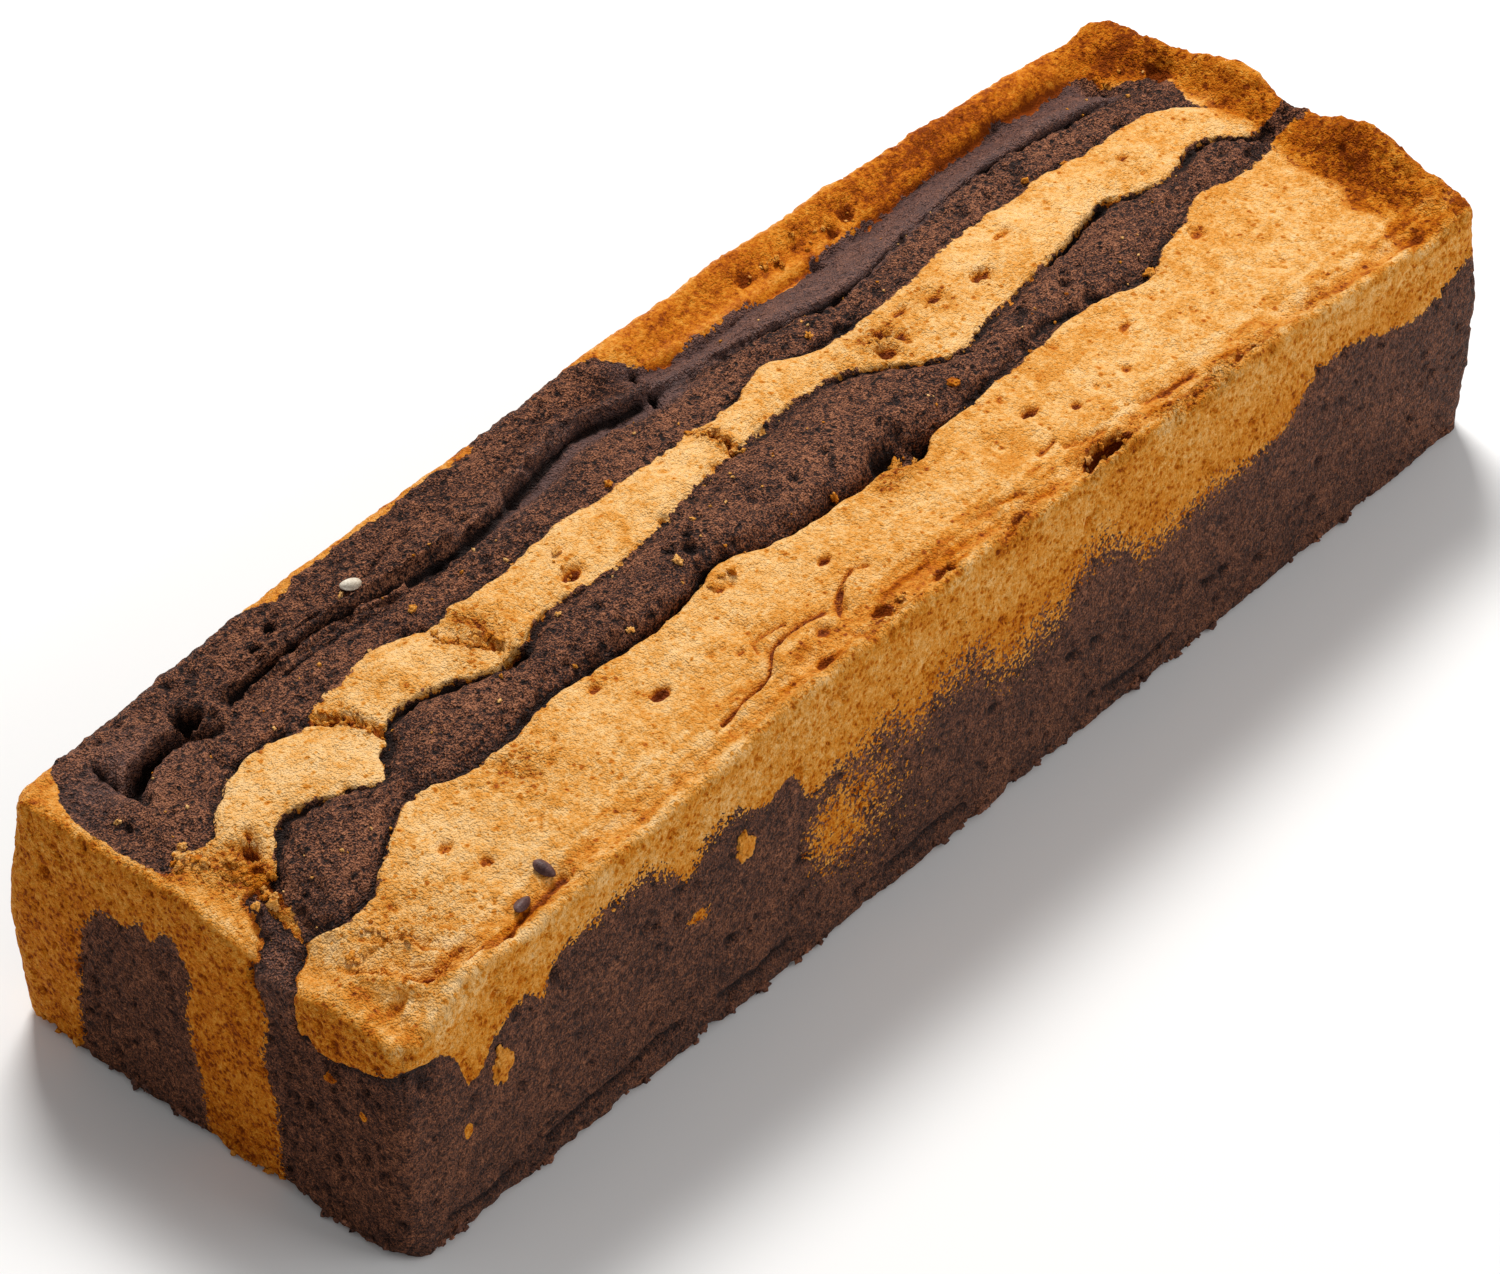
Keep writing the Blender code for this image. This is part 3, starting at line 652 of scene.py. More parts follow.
# %% [markdown]
# ## Fields that the materials read
# A shader can't know where the batters meet, so the mesh carries it: one number per point for the
# chocolate, one for how soft its edge is, one for how browned the crust is, with some painted shade and
# highlights in it, and so on. The hollow field compares each point's height with the mean height around
# it, so cracks and grooves are found wherever the relief put them. The materials darken the colour where it
# is high, which paints shade into the hollows, and lighten it on crests, which paints highlights there.

# %% Where each point lies
is_top = np.arange(len(points)) < top_index.size
px, py, pz = points.T
wall_out_x, wall_out_y = outward(np.clip(px, -HALF_LENGTH, HALF_LENGTH),
                                 np.clip(py, -HALF_WIDTH, HALF_WIDTH))
on_end = wall_out_x**2
inset = np.minimum(HALF_LENGTH - np.abs(px), HALF_WIDTH - np.abs(py))
to_top = ease(inset / 2.0) * is_top
on_wall = 1 - to_top

# %% Chocolate, and how peppered its edge is
FOOT_CHOCOLATE = 8.0
EDGE_WIDTH = 0.8
TOP_SOFTNESS, END_SOFTNESS, LEFT_SOFTNESS = 0.12, 0.6, 1.0
SPECKLED = [(-128, 0.25), (-44, 0.4), (-36, 1.8), (60, 1.8), (80, 0.7), (128, 0.5)]
speckled = smooth_line(SPECKLED)
end_field = np.where(px < 0, chocolate_on_near_end(py, pz), chocolate_on_far_end(py, pz))
wall_field = on_end * end_field + (1 - on_end) * chocolate_on_sides(px, py, pz)
chocolate = wall_field + (chocolate_on_top(px, py) - wall_field) * to_top
chocolate[-len(rim_x):] = FOOT_CHOCOLATE
in_chocolate = ease(0.5 + chocolate / EDGE_WIDTH)
softness = np.where(py < 0, speckled(px), LEFT_SOFTNESS)
softness = np.where(on_end > 0.5, END_SOFTNESS, softness)
softness = np.where(is_top & (inset > 1.5), TOP_SOFTNESS, softness)
print("chocolate covers", round(float((chocolate > 0).mean()) * 100), "% of the points")

# %% Hollows and crests, for painted shade in hollows and painted highlights on crests
HOLLOW_REACH = 1.7
HOLLOW_DEPTH = 1.1
hollow = np.zeros(len(points))
flat_x, flat_y = top_x.ravel(), top_y.ravel()
turns = np.arange(8) * math.pi / 4
around_height = sum(top_height(flat_x + HOLLOW_REACH * math.cos(turn), flat_y + HOLLOW_REACH * math.sin(turn))
                    for turn in turns) / len(turns)
hollow[:top_index.size] = (around_height - top_height(flat_x, flat_y)) / HOLLOW_DEPTH
hollow = np.clip(hollow, -1, 1) * to_top

# %% Browning, from 0 for pale gold to 1 for deep brown, with painted shade in hollows and on the near end, and painted highlights on crests
TOP_TONE = 0.255
SIDE_TONE = 0.56
RIDGE_TONE, RIDGE_FADES = 0.18, 0.10
RIDGE_HIGHLIGHT = (-38.4, 0.8)
RIM_TONE, RIM_DEEPENS = 0.36, 0.14
FAR_WALL_TONE, FAR_CREST_FADES = 0.44, 0.09
NEAR_RIM_TONE = 0.26
NEAR_RIM_HIGHLIGHT = (-124.3, 0.9)
NECK_SPOT = (-115, -3, 4, 9, 0.4)
BROWN_SPOTS = [
    (-12, -30, 40, 8, 0.13), (-105, -31, 13, 7, 0.07), (-120, -31, 6, 8, 0.06), (-97, -36.2, 9, 2, 0.3)]
PALE_CORNER = (-124, 38, 8, 8, 0.10)


def top_browning(x, y):
    """The browning of the top: deepest on the ridge, the rims and the far wall, with painted highlights on
    the crests of the right ridge and the near rim.
    """
    ridge = (RIDGE_TONE - RIDGE_FADES * ease((np.abs(x) - 30) / 30)) * ease((-30 - y) / 4)
    # Painted highlight: the right ridge's crest is made paler.
    ridge -= 0.12 * strip(y, RIDGE_HIGHLIGHT)
    left = (RIM_TONE + RIM_DEEPENS * ease((x - 45) / 30)) * ease((y - 26) / 3)
    beyond = x - far_foot(y) + 1.2 * np.sin(y / 2.3) * np.sin(y / 5.1)
    wall = FAR_WALL_TONE * ease((beyond + 3) / 6) - FAR_CREST_FADES * ease((beyond - 5) / 6)
    # The near rim's crest is made paler: a painted highlight.
    near = NEAR_RIM_TONE * ease((-117 - x) / 6) + bump_at(x, y, NECK_SPOT) - 0.2 * strip(x, NEAR_RIM_HIGHLIGHT)
    middle = TOP_TONE - 0.07 * ease((-75 - x) / 30) + 0.02 * ease((x + 20) / 30)
    middle += 0.08 * bell(y + 14 + 6 * np.sin(x / 21), 9)
    middle += sum(bump_at(x, y, spot) for spot in BROWN_SPOTS)
    return middle + np.maximum.reduce([ridge, left, wall, near])


def side_browning(x, y, z):
    """The browning of the walls: darkest on the near end, partly as painted shade, lighter near the top."""
    long_side = (0.08 + 0.08 * ease((np.abs(x) - 25) / 30)) * ease((z - 36) / 7)
    # The near end's extra darkness is partly browner crust and partly painted shade, as that end faces away
    # from the main lamp.
    near_end = (0.155 - 0.09 * ease((z - 28) / 10)) * (x < 0)
    side = SIDE_TONE + on_end * near_end + 0.06 * on_end * (x > 0) - (1 - on_end) * long_side
    return side - bump_at(x, y, PALE_CORNER)


side_tone = side_browning(px, py, pz)
# Painted shade: hollows make the crust darker.
crust = side_tone + (top_browning(px, py) - side_tone) * to_top + 0.25 * np.clip(hollow, 0, 1)
crust += 0.34 * lumps(px / 6, py, pz, 1.4, 2, 4.0) * ease((-28 - py) / 4) * is_top
print("browning spans", round(float(crust.min()), 2), "to", round(float(crust.max()), 2))

# %% Smooth skin, mostly on the fold of the left band
SKIN_SPOTS = [(-123, -12.8, 4, 5, 0.3), (-118.9, -5, 2, 3, 0.5), (-113, 29, 10, 6, 0.6)]
ROLLED_SKIN = (-2.2, 2.6)
past_fold = py - fold(px)
smooth_skin = sum(bump_at(px, py, spot) for spot in SKIN_SPOTS)
smooth_skin += 0.85 * ease(past_fold / 1.5 + 1) * window(px, -6, 112, 8, 4)
smooth_skin += strip(past_fold, ROLLED_SKIN) * window(px, -50, 6, 20, 6)
smooth_skin = np.clip(smooth_skin * is_top, 0, 1) * (1 - 0.9 * ease((hollow - 0.6) / 0.3))

# %% Crumbly places, as (x, y, radius along, radius across, strength)
CRUMBLY = [
    (-61.5, 7, 4.5, 6, 1), (-86, 9, 2.5, 6, 0.8), (-6.2, 8, 1.6, 5, 0.7), (28, 5, 5, 4.5, 0.9),
    (42, 6, 4, 4, 0.6), (52, 4, 3, 2, 0.7), (-116, 2, 4, 6, 1), (-121.5, 10, 3, 7, 0.8),
    (-77, -17, 4, 5, 0.7), (5, -18.5, 5, 2.2, 0.9), (33, -37, 7, 2.5, 1), (10, -37.5, 5, 2, 0.8),
    (56, -38, 8, 2, 0.7), (-108, -25, 9, 8, 0.45), (-91, 24, 4, 5, 0.4), (10, -12.5, 5, 2.5, 0.8),
    (72, -13.5, 3, 2, 0.6), (50, 35, 46, 4, 0.7), (119, -20, 6, 18, 0.8), (120, 26, 5, 6, 0.8),
    (86, -36, 5, 2, 0.7), (70, -36.8, 4, 1.8, 0.8), (60, -37, 4, 1.8, 0.9), (47, -37.6, 4, 1.6, 0.8),
    (-20, -36.6, 4, 1.5, 0.7), (-116, -5, 2.5, 9, 1), (-121, 22, 4, 6, 0.3), (92, 8, 3, 3, 0.4)]
crumbly = is_top * np.clip(sum(bump_at(px, py, spot) for spot in CRUMBLY), 0, 1)
crust += 0.16 * crumbly

# %% [markdown]
# ## Roughness in the mesh itself
# Crust is never smooth: chocolate is coarse and crumbly, vanilla has a fine leathery skin, and the walls,
# which baked against metal, are full of small pits. The foot is ragged where crumb stuck to the tin. What
# is wider than the grid is pressed into the mesh. What is finer is left to the materials.

# %% Crumbly relief
BROAD, COARSE, FINE, TORN_GRAIN = 9.0, 3.2, 1.4, 1.9
loaf = bpy.data.meshes.new("marble_cake_surface")
loaf.from_pydata(points.tolist(), [], faces)
loaf.update()
normals = np.array([v.vector for v in loaf.vertex_normals])
rough = 1 - 0.65 * smooth_skin
gritty_top = in_chocolate * rough * to_top
far_wall = ease((px - far_foot(py) - 1) / 4) * to_top
ridge_zone = ease((-33 - py) / 3) * to_top
relief = lumps(px, py, pz, BROAD, 2) * (0.25 + 0.3 * to_top)
relief += lumps(px, py, pz, COARSE, 3, 5.0) * (0.16 + 0.10 * to_top + 0.28 * gritty_top + 0.3 * ridge_zone
                                               + 0.4 * far_wall)
relief += lumps(px, py, pz, FINE, 2, 7.0) * (0.10 + 0.28 * gritty_top + 0.14 * on_wall + 0.2 * far_wall)
relief -= 1.3 * crumbly * np.abs(lumps(px, py, pz, TORN_GRAIN, 2, 11.0))
relief[pz < 0.01] = 0
moved = points + normals * relief[:, None]
print("relief spans", round(float(relief.min()), 2), "to", round(float(relief.max()), 2), "mm")

# %% The ragged foot
FOOT_RAGGED = 1.3
FOOT_HEIGHT = 3.5
ragged = np.clip(lumps(px, py, np.zeros_like(pz), 6.5, 3, 2.0) * 1.6 - 0.05, 0, 1)
inward = FOOT_RAGGED * ragged * ease((FOOT_HEIGHT - pz) / FOOT_HEIGHT) * ~is_top

# %% The cap that hangs over the near corner, and the seam beside the chocolate tongue, with painted shadow under the cap and painted shade in the seam
CAP_PROUD = 1.2
SET_BACK = 0.9
CAP_FOOT = 25
LIP = (-4, 5)
SEAM_DEPTH = 0.8
corner = ease((-py - 16) / 4) * ease((-118 - px) / 3)
lip = 0.7 * strip(py, LIP) * ease((-118 - px) / 3) * ease((pz - 33) / 4)
over = ease((pz - CAP_FOOT) / 6)
cap = CAP_PROUD * ease(0.5 - chocolate / EDGE_WIDTH) * over - SET_BACK * ease((pz - 4) / 20)
cap = cap * np.maximum(corner, lip) * on_wall
tongue = ease((-116.5 - px) / 2) * window(py, -24, -1, 3, 2) * ease((pz - 33) / 3)
seam = tongue * bell(chocolate, 0.5)
# Painted shadow under the cap's overhang, and painted shade in the seam, through the hollow field.
shadow_under_cap = corner * bell(chocolate - 0.9, 0.9) * on_wall * over
hollow = np.maximum(hollow, np.maximum(0.85 * seam, 0.8 * shadow_under_cap))
moved = moved - normals * (SEAM_DEPTH * seam)[:, None]
moved[:, 0] += wall_out_x * (cap - inward)
moved[:, 1] += wall_out_y * (cap - inward)

# %% Cracks of the right wall, as (depth, half width, path in x and z)
WALL_CRACKS = [
    (1.2, 0.7, [(-97, 5.2), (-90, 6.4), (-82, 6), (-74, 7.6), (-69, 7.2)]),
    (0.9, 0.6, [(-118, 5), (-111, 4.2), (-104, 5)]), (0.9, 0.7, [(-60, 6.4), (-52, 5.4), (-45, 6.6)]),
    (0.8, 0.6, [(-22, 5), (-12, 6.2), (-4, 5.4)]), (0.8, 0.6, [(30, 6), (38, 5), (47, 6)]),
    (1.4, 0.9, [(-42.6, 21.2), (-41, 20.8)]), (1.3, 0.8, [(-58.4, 16.6), (-57.2, 16.2)]),
    (1.2, 0.8, [(1.8, 21.2), (3, 21.2)]), (1.3, 0.8, [(20.8, 18.8), (22.2, 18.4)]),
    (1.1, 0.8, [(26.6, 18.6), (27.6, 18.2)]), (1.2, 0.8, [(55.4, 11.2), (56.8, 11.2)]),
    (1.1, 0.8, [(59.6, 11), (60.4, 11)]), (1.2, 0.8, [(68.4, 7.7), (69.6, 7.7)])]
on_right = (1 - on_end) * (py < 0) * ~is_top
for depth, width, path in WALL_CRACKS:
    groove = bell(distance_to_path(px, pz, path), width) * on_right
    moved[:, 1] += depth * groove
    # Painted shade: each crack also raises the hollow field, which darkens its colour.
    hollow = np.maximum(hollow, groove)

# %% Pits pressed into the mesh, with painted shade in them
PITS = 5600
WALL_SHARE, TOP_SHARE, CHOCOLATE_SHARE, CRUMBLY_SHARE = 0.55, 0.05, 0.4, 0.4
PIT_SHADE = 0.7
pit_random = random.Random(11)
tree = kdtree.KDTree(len(moved))
for i, point in enumerate(moved):
    tree.insert(point, i)
tree.balance()
candidates = np.nonzero(pz > 1.5)[0]
keep = TOP_SHARE + CHOCOLATE_SHARE * in_chocolate + CRUMBLY_SHARE * crumbly
keep = (WALL_SHARE * on_wall + to_top * keep) * rough
pressed = 0
for _ in range(PITS):
    centre = int(candidates[pit_random.randrange(len(candidates))])
    radius = 0.7 + 0.9 * pit_random.random() ** 3
    depth = radius * pit_random.uniform(0.35, 0.8)
    if pit_random.random() > keep[centre]:
        continue
    pressed += 1
    for _, i, away in tree.find_range(moved[centre], radius):
        share = (1 - (away / radius) ** 2) ** 2
        moved[i] = moved[i] - normals[i] * depth * share
        # Painted shade: the pit also darkens the colour through the hollow field.
        hollow[i] = max(hollow[i], PIT_SHADE * share)
print(pressed, "pits")

# %% Helpers that keep the surface inside the solid's box
ROOM = 0.45
SOFT = 0.5
LEAN = 0.1
half_x, half_y, top_limit = (float(v) / MM for v in high)


def kept_inside(value, limit):
    """Eases values near a limit so that none passes it."""
    over = np.maximum(value - limit + SOFT, 0)
    return np.where(over > 0, limit - SOFT * np.exp(-over / SOFT), value)


def placed(point):
    """Moves a point of the lesson's own millimetres to the solid's place, in metres."""
    return Vector((point[0], point[1] + LEAN, point[2])) * MM


# %% The cake's own piece
moved[:, 1] += LEAN
moved[:, 0] = -kept_inside(-kept_inside(moved[:, 0], half_x), half_x)
moved[:, 1] = -kept_inside(-kept_inside(moved[:, 1], half_y), half_y - ROOM)
moved[:, 2] = np.maximum(kept_inside(moved[:, 2], top_limit), 0)
loaf.vertices.foreach_set("co", (moved * MM).astype(np.float32).ravel())
loaf.update()
loaf.shade_smooth()
fields = {"chocolate": chocolate, "softness": softness, "crust": crust, "skin": smooth_skin,
          "hollow": hollow, "wall": on_wall, "crumbly": crumbly}
for name, values in fields.items():
    loaf.attributes.new(name, "FLOAT", "POINT").data.foreach_set("value", np.asarray(values, np.float32))
cake = bpy.data.objects.new("marble_cake_crumb", loaf)
bpy.context.scene.collection.objects.link(cake)
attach(cake, "root")
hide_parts("marble_cake")
print("fine surface spans", np.round(moved.min(0), 1), "to", np.round(moved.max(0), 1), "mm")

# %% [markdown]
# ## Shader groups
# Several materials need the same effects, so each effect is a node group. One makes pores: dots of
# uneven size and outline, which the materials darken as painted shade. One makes grain: soft noise at
# three sizes. One turns a tone number into baked vanilla crust, with a deeper tone in its pores as painted
# shade, so the loose crumbs brown in the same way as the loaf. All work in the object's own metres.

# %% Node helpers


def new_group(name, inputs, outputs):
    """An empty shader group with named number or colour sockets."""
    group = bpy.data.node_groups.new(name, "ShaderNodeTree")
    for label, value in inputs:
        socket = group.interface.new_socket(label, in_out="INPUT", socket_type="NodeSocketFloat")
        socket.default_value = value
    for label, kind in outputs:
        group.interface.new_socket(label, in_out="OUTPUT", socket_type=kind)
    return group, group.nodes.new("NodeGroupInput"), group.nodes.new("NodeGroupOutput")


def put(tree, kind, settings=None, links=None, **values):
    """Adds a node. settings are its own options, links feed its sockets, values set them by name."""
    node = tree.nodes.new(kind)
    for key, value in (settings or {}).items():
        setattr(node, key, value)
    for key, value in values.items():
        node.inputs[key.replace("_", " ")].default_value = value
    for key, source in (links or {}).items():
        tree.links.new(source, node.inputs[key])
    return node


def calculate(tree, operation, a, b=None, c=None, clamp=False):
    """A Math node whose inputs are numbers or sockets. Gives its output."""
    node = put(tree, "ShaderNodeMath", {"operation": operation, "use_clamp": clamp})
    for i, value in enumerate((a, b, c)):
        if isinstance(value, (int, float)):
            node.inputs[i].default_value = value
        elif value is not None:
            tree.links.new(value, node.inputs[i])
    return node.outputs[0]


def times(tree, a, b):
    """A product of sockets or numbers."""
    return calculate(tree, "MULTIPLY", a, b)


def larger(tree, a, b):
    """The larger of two sockets."""
    return calculate(tree, "MAXIMUM", a, b)


def weighted(tree, *terms, clamp=False):
    """The sum of (socket, weight, middle) terms: weight times how far the socket is from its middle."""
    total = None
    for socket, weight, middle in terms:
        term = calculate(tree, "MULTIPLY_ADD", socket, weight, -weight * middle)
        total = term if total is None else calculate(tree, "ADD", total, term, clamp=clamp)
    return total


def mix_colour(tree, factor, a, b):
    """A colour mix. factor, a and b are sockets, or numbers and colours."""
    node = put(tree, "ShaderNodeMix", {"data_type": "RGBA"})
    for index, value in ((0, factor), (6, a), (7, b)):
        if isinstance(value, bpy.types.NodeSocket):
            tree.links.new(value, node.inputs[index])
        else:
            node.inputs[index].default_value = value if index == 0 else (*value, 1)
    return node.outputs[2]


def ramp(tree, factor, stops):
    """A colour ramp through (position, colour) stops."""
    node = put(tree, "ShaderNodeValToRGB", links={"Fac": factor})
    while len(node.color_ramp.elements) < len(stops):
        node.color_ramp.elements.new(0.5)
    for element, (position, colour) in zip(node.color_ramp.elements, stops):
        element.position = position
        element.color = (*colour, 1)
    return node.outputs["Color"]


def step_between(tree, value, start, end):
    """0 below start, 1 above end, smooth between."""
    node = put(tree, "ShaderNodeMapRange", {"interpolation_type": "SMOOTHSTEP"})
    for key, given in (("Value", value), ("From Min", start), ("From Max", end)):
        if isinstance(given, (int, float)):
            node.inputs[key].default_value = given
        else:
            tree.links.new(given, node.inputs[key])
    return node.outputs["Result"]


def use_group(tree, group, **values):
    """One of the shared groups. A value is a number or a socket."""
    node = put(tree, "ShaderNodeGroup", {"node_tree": group})
    for key, value in values.items():
        if isinstance(value, (int, float)):
            node.inputs[key].default_value = value
        else:
            tree.links.new(value, node.inputs[key])
    return node.outputs


def new_material(name):
    """A new material, its node tree and its shader."""
    material = bpy.data.materials.new(name)
    material.use_nodes = True
    return material, material.node_tree, material.node_tree.nodes["Principled BSDF"]


def roughen(tree, shader, height, strength, distance):
    """Feeds a height to the shader as fine relief."""
    bump = put(tree, "ShaderNodeBump", links={"Height": height}, Strength=strength, Distance=distance)
    tree.links.new(bump.outputs["Normal"], shader.inputs["Normal"])


def attribute(tree, name):
    """The value of one of the mesh's own fields."""
    return put(tree, "ShaderNodeAttribute", {"attribute_name": name}).outputs["Fac"]


# %% The pore group
WARP = 0.0008
pores, group_in, group_out = new_group(
    "crumb_pores", [("Scale", 800.0), ("Share", 0.5), ("Size", 0.3)], [("Mask", "NodeSocketFloat")])
where = put(pores, "ShaderNodeTexCoord").outputs["Object"]
placed_by = {"Vector": where, "Scale": group_in.outputs["Scale"]}
warp = put(pores, "ShaderNodeTexNoise", links=placed_by, Detail=1.0)
centred = put(pores, "ShaderNodeVectorMath", {"operation": "SUBTRACT"}, {0: warp.outputs["Color"]})
centred.inputs[1].default_value = (0.5, 0.5, 0.5)
small = put(pores, "ShaderNodeVectorMath", {"operation": "SCALE"}, {0: centred.outputs[0]}, Scale=WARP)
warped = put(pores, "ShaderNodeVectorMath", {"operation": "ADD"}, {0: where, 1: small.outputs[0]})
placed_by["Vector"] = warped.outputs[0]
cells = put(pores, "ShaderNodeTexVoronoi", links=placed_by)
cell_random = put(pores, "ShaderNodeSeparateColor", links={"Color": cells.outputs["Color"]})
chosen = calculate(pores, "LESS_THAN", cell_random.outputs["Red"], group_in.outputs["Share"])
uneven = calculate(pores, "MULTIPLY_ADD", cell_random.outputs["Green"], cell_random.outputs["Green"], 0.35)
radius = times(pores, uneven, group_in.outputs["Size"])
outside = step_between(pores, cells.outputs["Distance"], times(pores, radius, 0.3), radius)
inside = calculate(pores, "SUBTRACT", 1.0, outside)
pores.links.new(times(pores, inside, chosen), group_out.inputs["Mask"])

# %% The grain group
SIZES = ("Broad", "Middle", "Fine")
grain, group_in, group_out = new_group(
    "baked_grain", [("Broad", 90.0), ("Middle", 450.0), ("Fine", 1800.0), ("Detail", 2.0)],
    [(label, "NodeSocketFloat") for label in SIZES])
where = put(grain, "ShaderNodeTexCoord").outputs["Object"]
for label in SIZES:
    placed_by = {"Vector": where, "Scale": group_in.outputs[label], "Detail": group_in.outputs["Detail"]}
    layer = put(grain, "ShaderNodeTexNoise", links=placed_by, Roughness=0.6)
    grain.links.new(layer.outputs["Fac"], group_out.inputs[label])

# %% The flaky skin group
FLAKE_WARP = 0.0009
flaky, group_in, group_out = new_group("flaky_skin", [("Scale", 1100.0)],
                                       [("Tone", "NodeSocketFloat"), ("Height", "NodeSocketFloat")])
where = put(flaky, "ShaderNodeTexCoord").outputs["Object"]
placed_by = {"Vector": where, "Scale": group_in.outputs["Scale"]}
shift = put(flaky, "ShaderNodeTexNoise", links=placed_by, Detail=0.0)
small = put(flaky, "ShaderNodeVectorMath", {"operation": "SCALE"}, {0: shift.outputs["Color"]},
            Scale=FLAKE_WARP)
shifted = put(flaky, "ShaderNodeVectorMath", {"operation": "ADD"}, {0: where, 1: small.outputs[0]})
placed_by["Vector"] = shifted.outputs[0]
flakes = put(flaky, "ShaderNodeTexVoronoi", links=placed_by)
flake_random = put(flaky, "ShaderNodeSeparateColor", links={"Color": flakes.outputs["Color"]})
flaky.links.new(flake_random.outputs["Blue"], group_out.inputs["Tone"])
flaky.links.new(calculate(flaky, "SUBTRACT", 1.0, flakes.outputs["Distance"]), group_out.inputs["Height"])

# %% The two batters' colours
VANILLA_TONES = [
    (0.0, (0.92, 0.58, 0.26)), (0.22, (0.86, 0.475, 0.160)), (0.4, (0.76, 0.335, 0.063)),
    (0.55, (0.67, 0.245, 0.023)), (0.7, (0.56, 0.160, 0.007)), (0.85, (0.39, 0.086, 0.003)),
    (1.0, (0.20, 0.036, 0.002))]
CHOCOLATE_TONES = [
    (0.2, (0.026, 0.014, 0.013)), (0.42, (0.088, 0.038, 0.026)), (0.55, (0.155, 0.060, 0.035)),
    (0.72, (0.30, 0.112, 0.056)), (0.9, (0.44, 0.18, 0.09))]

# %% The vanilla crust group
# Pores get a deeper tone on the same ramp: painted shade.
PORE_SHADE = 0.42
COLOUR_OUT = [("Color", "NodeSocketColor")]
vanilla_crust, group_in, group_out = new_group("vanilla_crust", [("Tone", 0.4), ("Pore", 0.0)], COLOUR_OUT)
deeper = calculate(vanilla_crust, "MULTIPLY_ADD", group_in.outputs["Pore"], PORE_SHADE,
                   group_in.outputs["Tone"])
vanilla_crust.links.new(ramp(vanilla_crust, deeper, VANILLA_TONES), group_out.inputs["Color"])

# %% The chocolate crust group
# The smooth skin's grey-blue colour is partly its own smoother crust and partly a painted sheen.
SKIN_TONE_AND_SHEEN = (0.160, 0.094, 0.086)
# A lighter reddish colour for crests: a painted highlight.
CREST_HIGHLIGHT_TONE = (0.25, 0.115, 0.075)
# A near-black colour for pores and hollows: painted shade.
CHOCOLATE_PORE_SHADE = (0.018, 0.011, 0.010)
SKIN_COVER = 0.75
chocolate_crust, group_in, group_out = new_group(
    "chocolate_crust", [("Tone", 0.5), ("Skin", 0.0), ("Crest", 0.0), ("Pore", 0.0)], COLOUR_OUT)
brown = ramp(chocolate_crust, group_in.outputs["Tone"], CHOCOLATE_TONES)
skin_cover = times(chocolate_crust, group_in.outputs["Skin"], SKIN_COVER)
brown = mix_colour(chocolate_crust, skin_cover, brown, SKIN_TONE_AND_SHEEN)
brown = mix_colour(chocolate_crust, group_in.outputs["Crest"], brown, CREST_HIGHLIGHT_TONE)
brown = mix_colour(chocolate_crust, group_in.outputs["Pore"], brown, CHOCOLATE_PORE_SHADE)
chocolate_crust.links.new(brown, group_out.inputs["Color"])
print("groups:", [g.name for g in bpy.data.node_groups])

# %% [markdown]
# ## The marbled crumb
# One material covers the whole loaf, because the batters run into each other. It makes a vanilla colour
# and a chocolate colour everywhere, and mixes them by the chocolate field. The field is shaken by noise
# first, as much as the edge is soft there, which gives crisp lines on top and a peppered edge on the
# walls.

# %% The loaf's material
SHAKE = 7.0
EDGE_SHARPNESS = 0.1
SKIN_CALMS = 0.8
CREST_HIGHLIGHT_COVER = 0.6
SHINE, WALL_DULLS = 0.16, 0.12
CRUMB_RELIEF = 0.0011


def edge_between(tree, mottle, speck):
    """1 in chocolate, 0 in vanilla. Noise shakes the field as much as the edge is soft there."""
    shake = times(tree, attribute(tree, "softness"), SHAKE)
    shaken = times(tree, calculate(tree, "SUBTRACT", speck["Middle"], 0.5), shake)
    field = weighted(tree, (attribute(tree, "chocolate"), 1.0, 0.0), (shaken, 1.0, 0.0),
                     (mottle["Middle"], 2.2, 0.5), (speck["Broad"], 1.5, 0.5))
    return step_between(tree, field, -EDGE_SHARPNESS, EDGE_SHARPNESS)


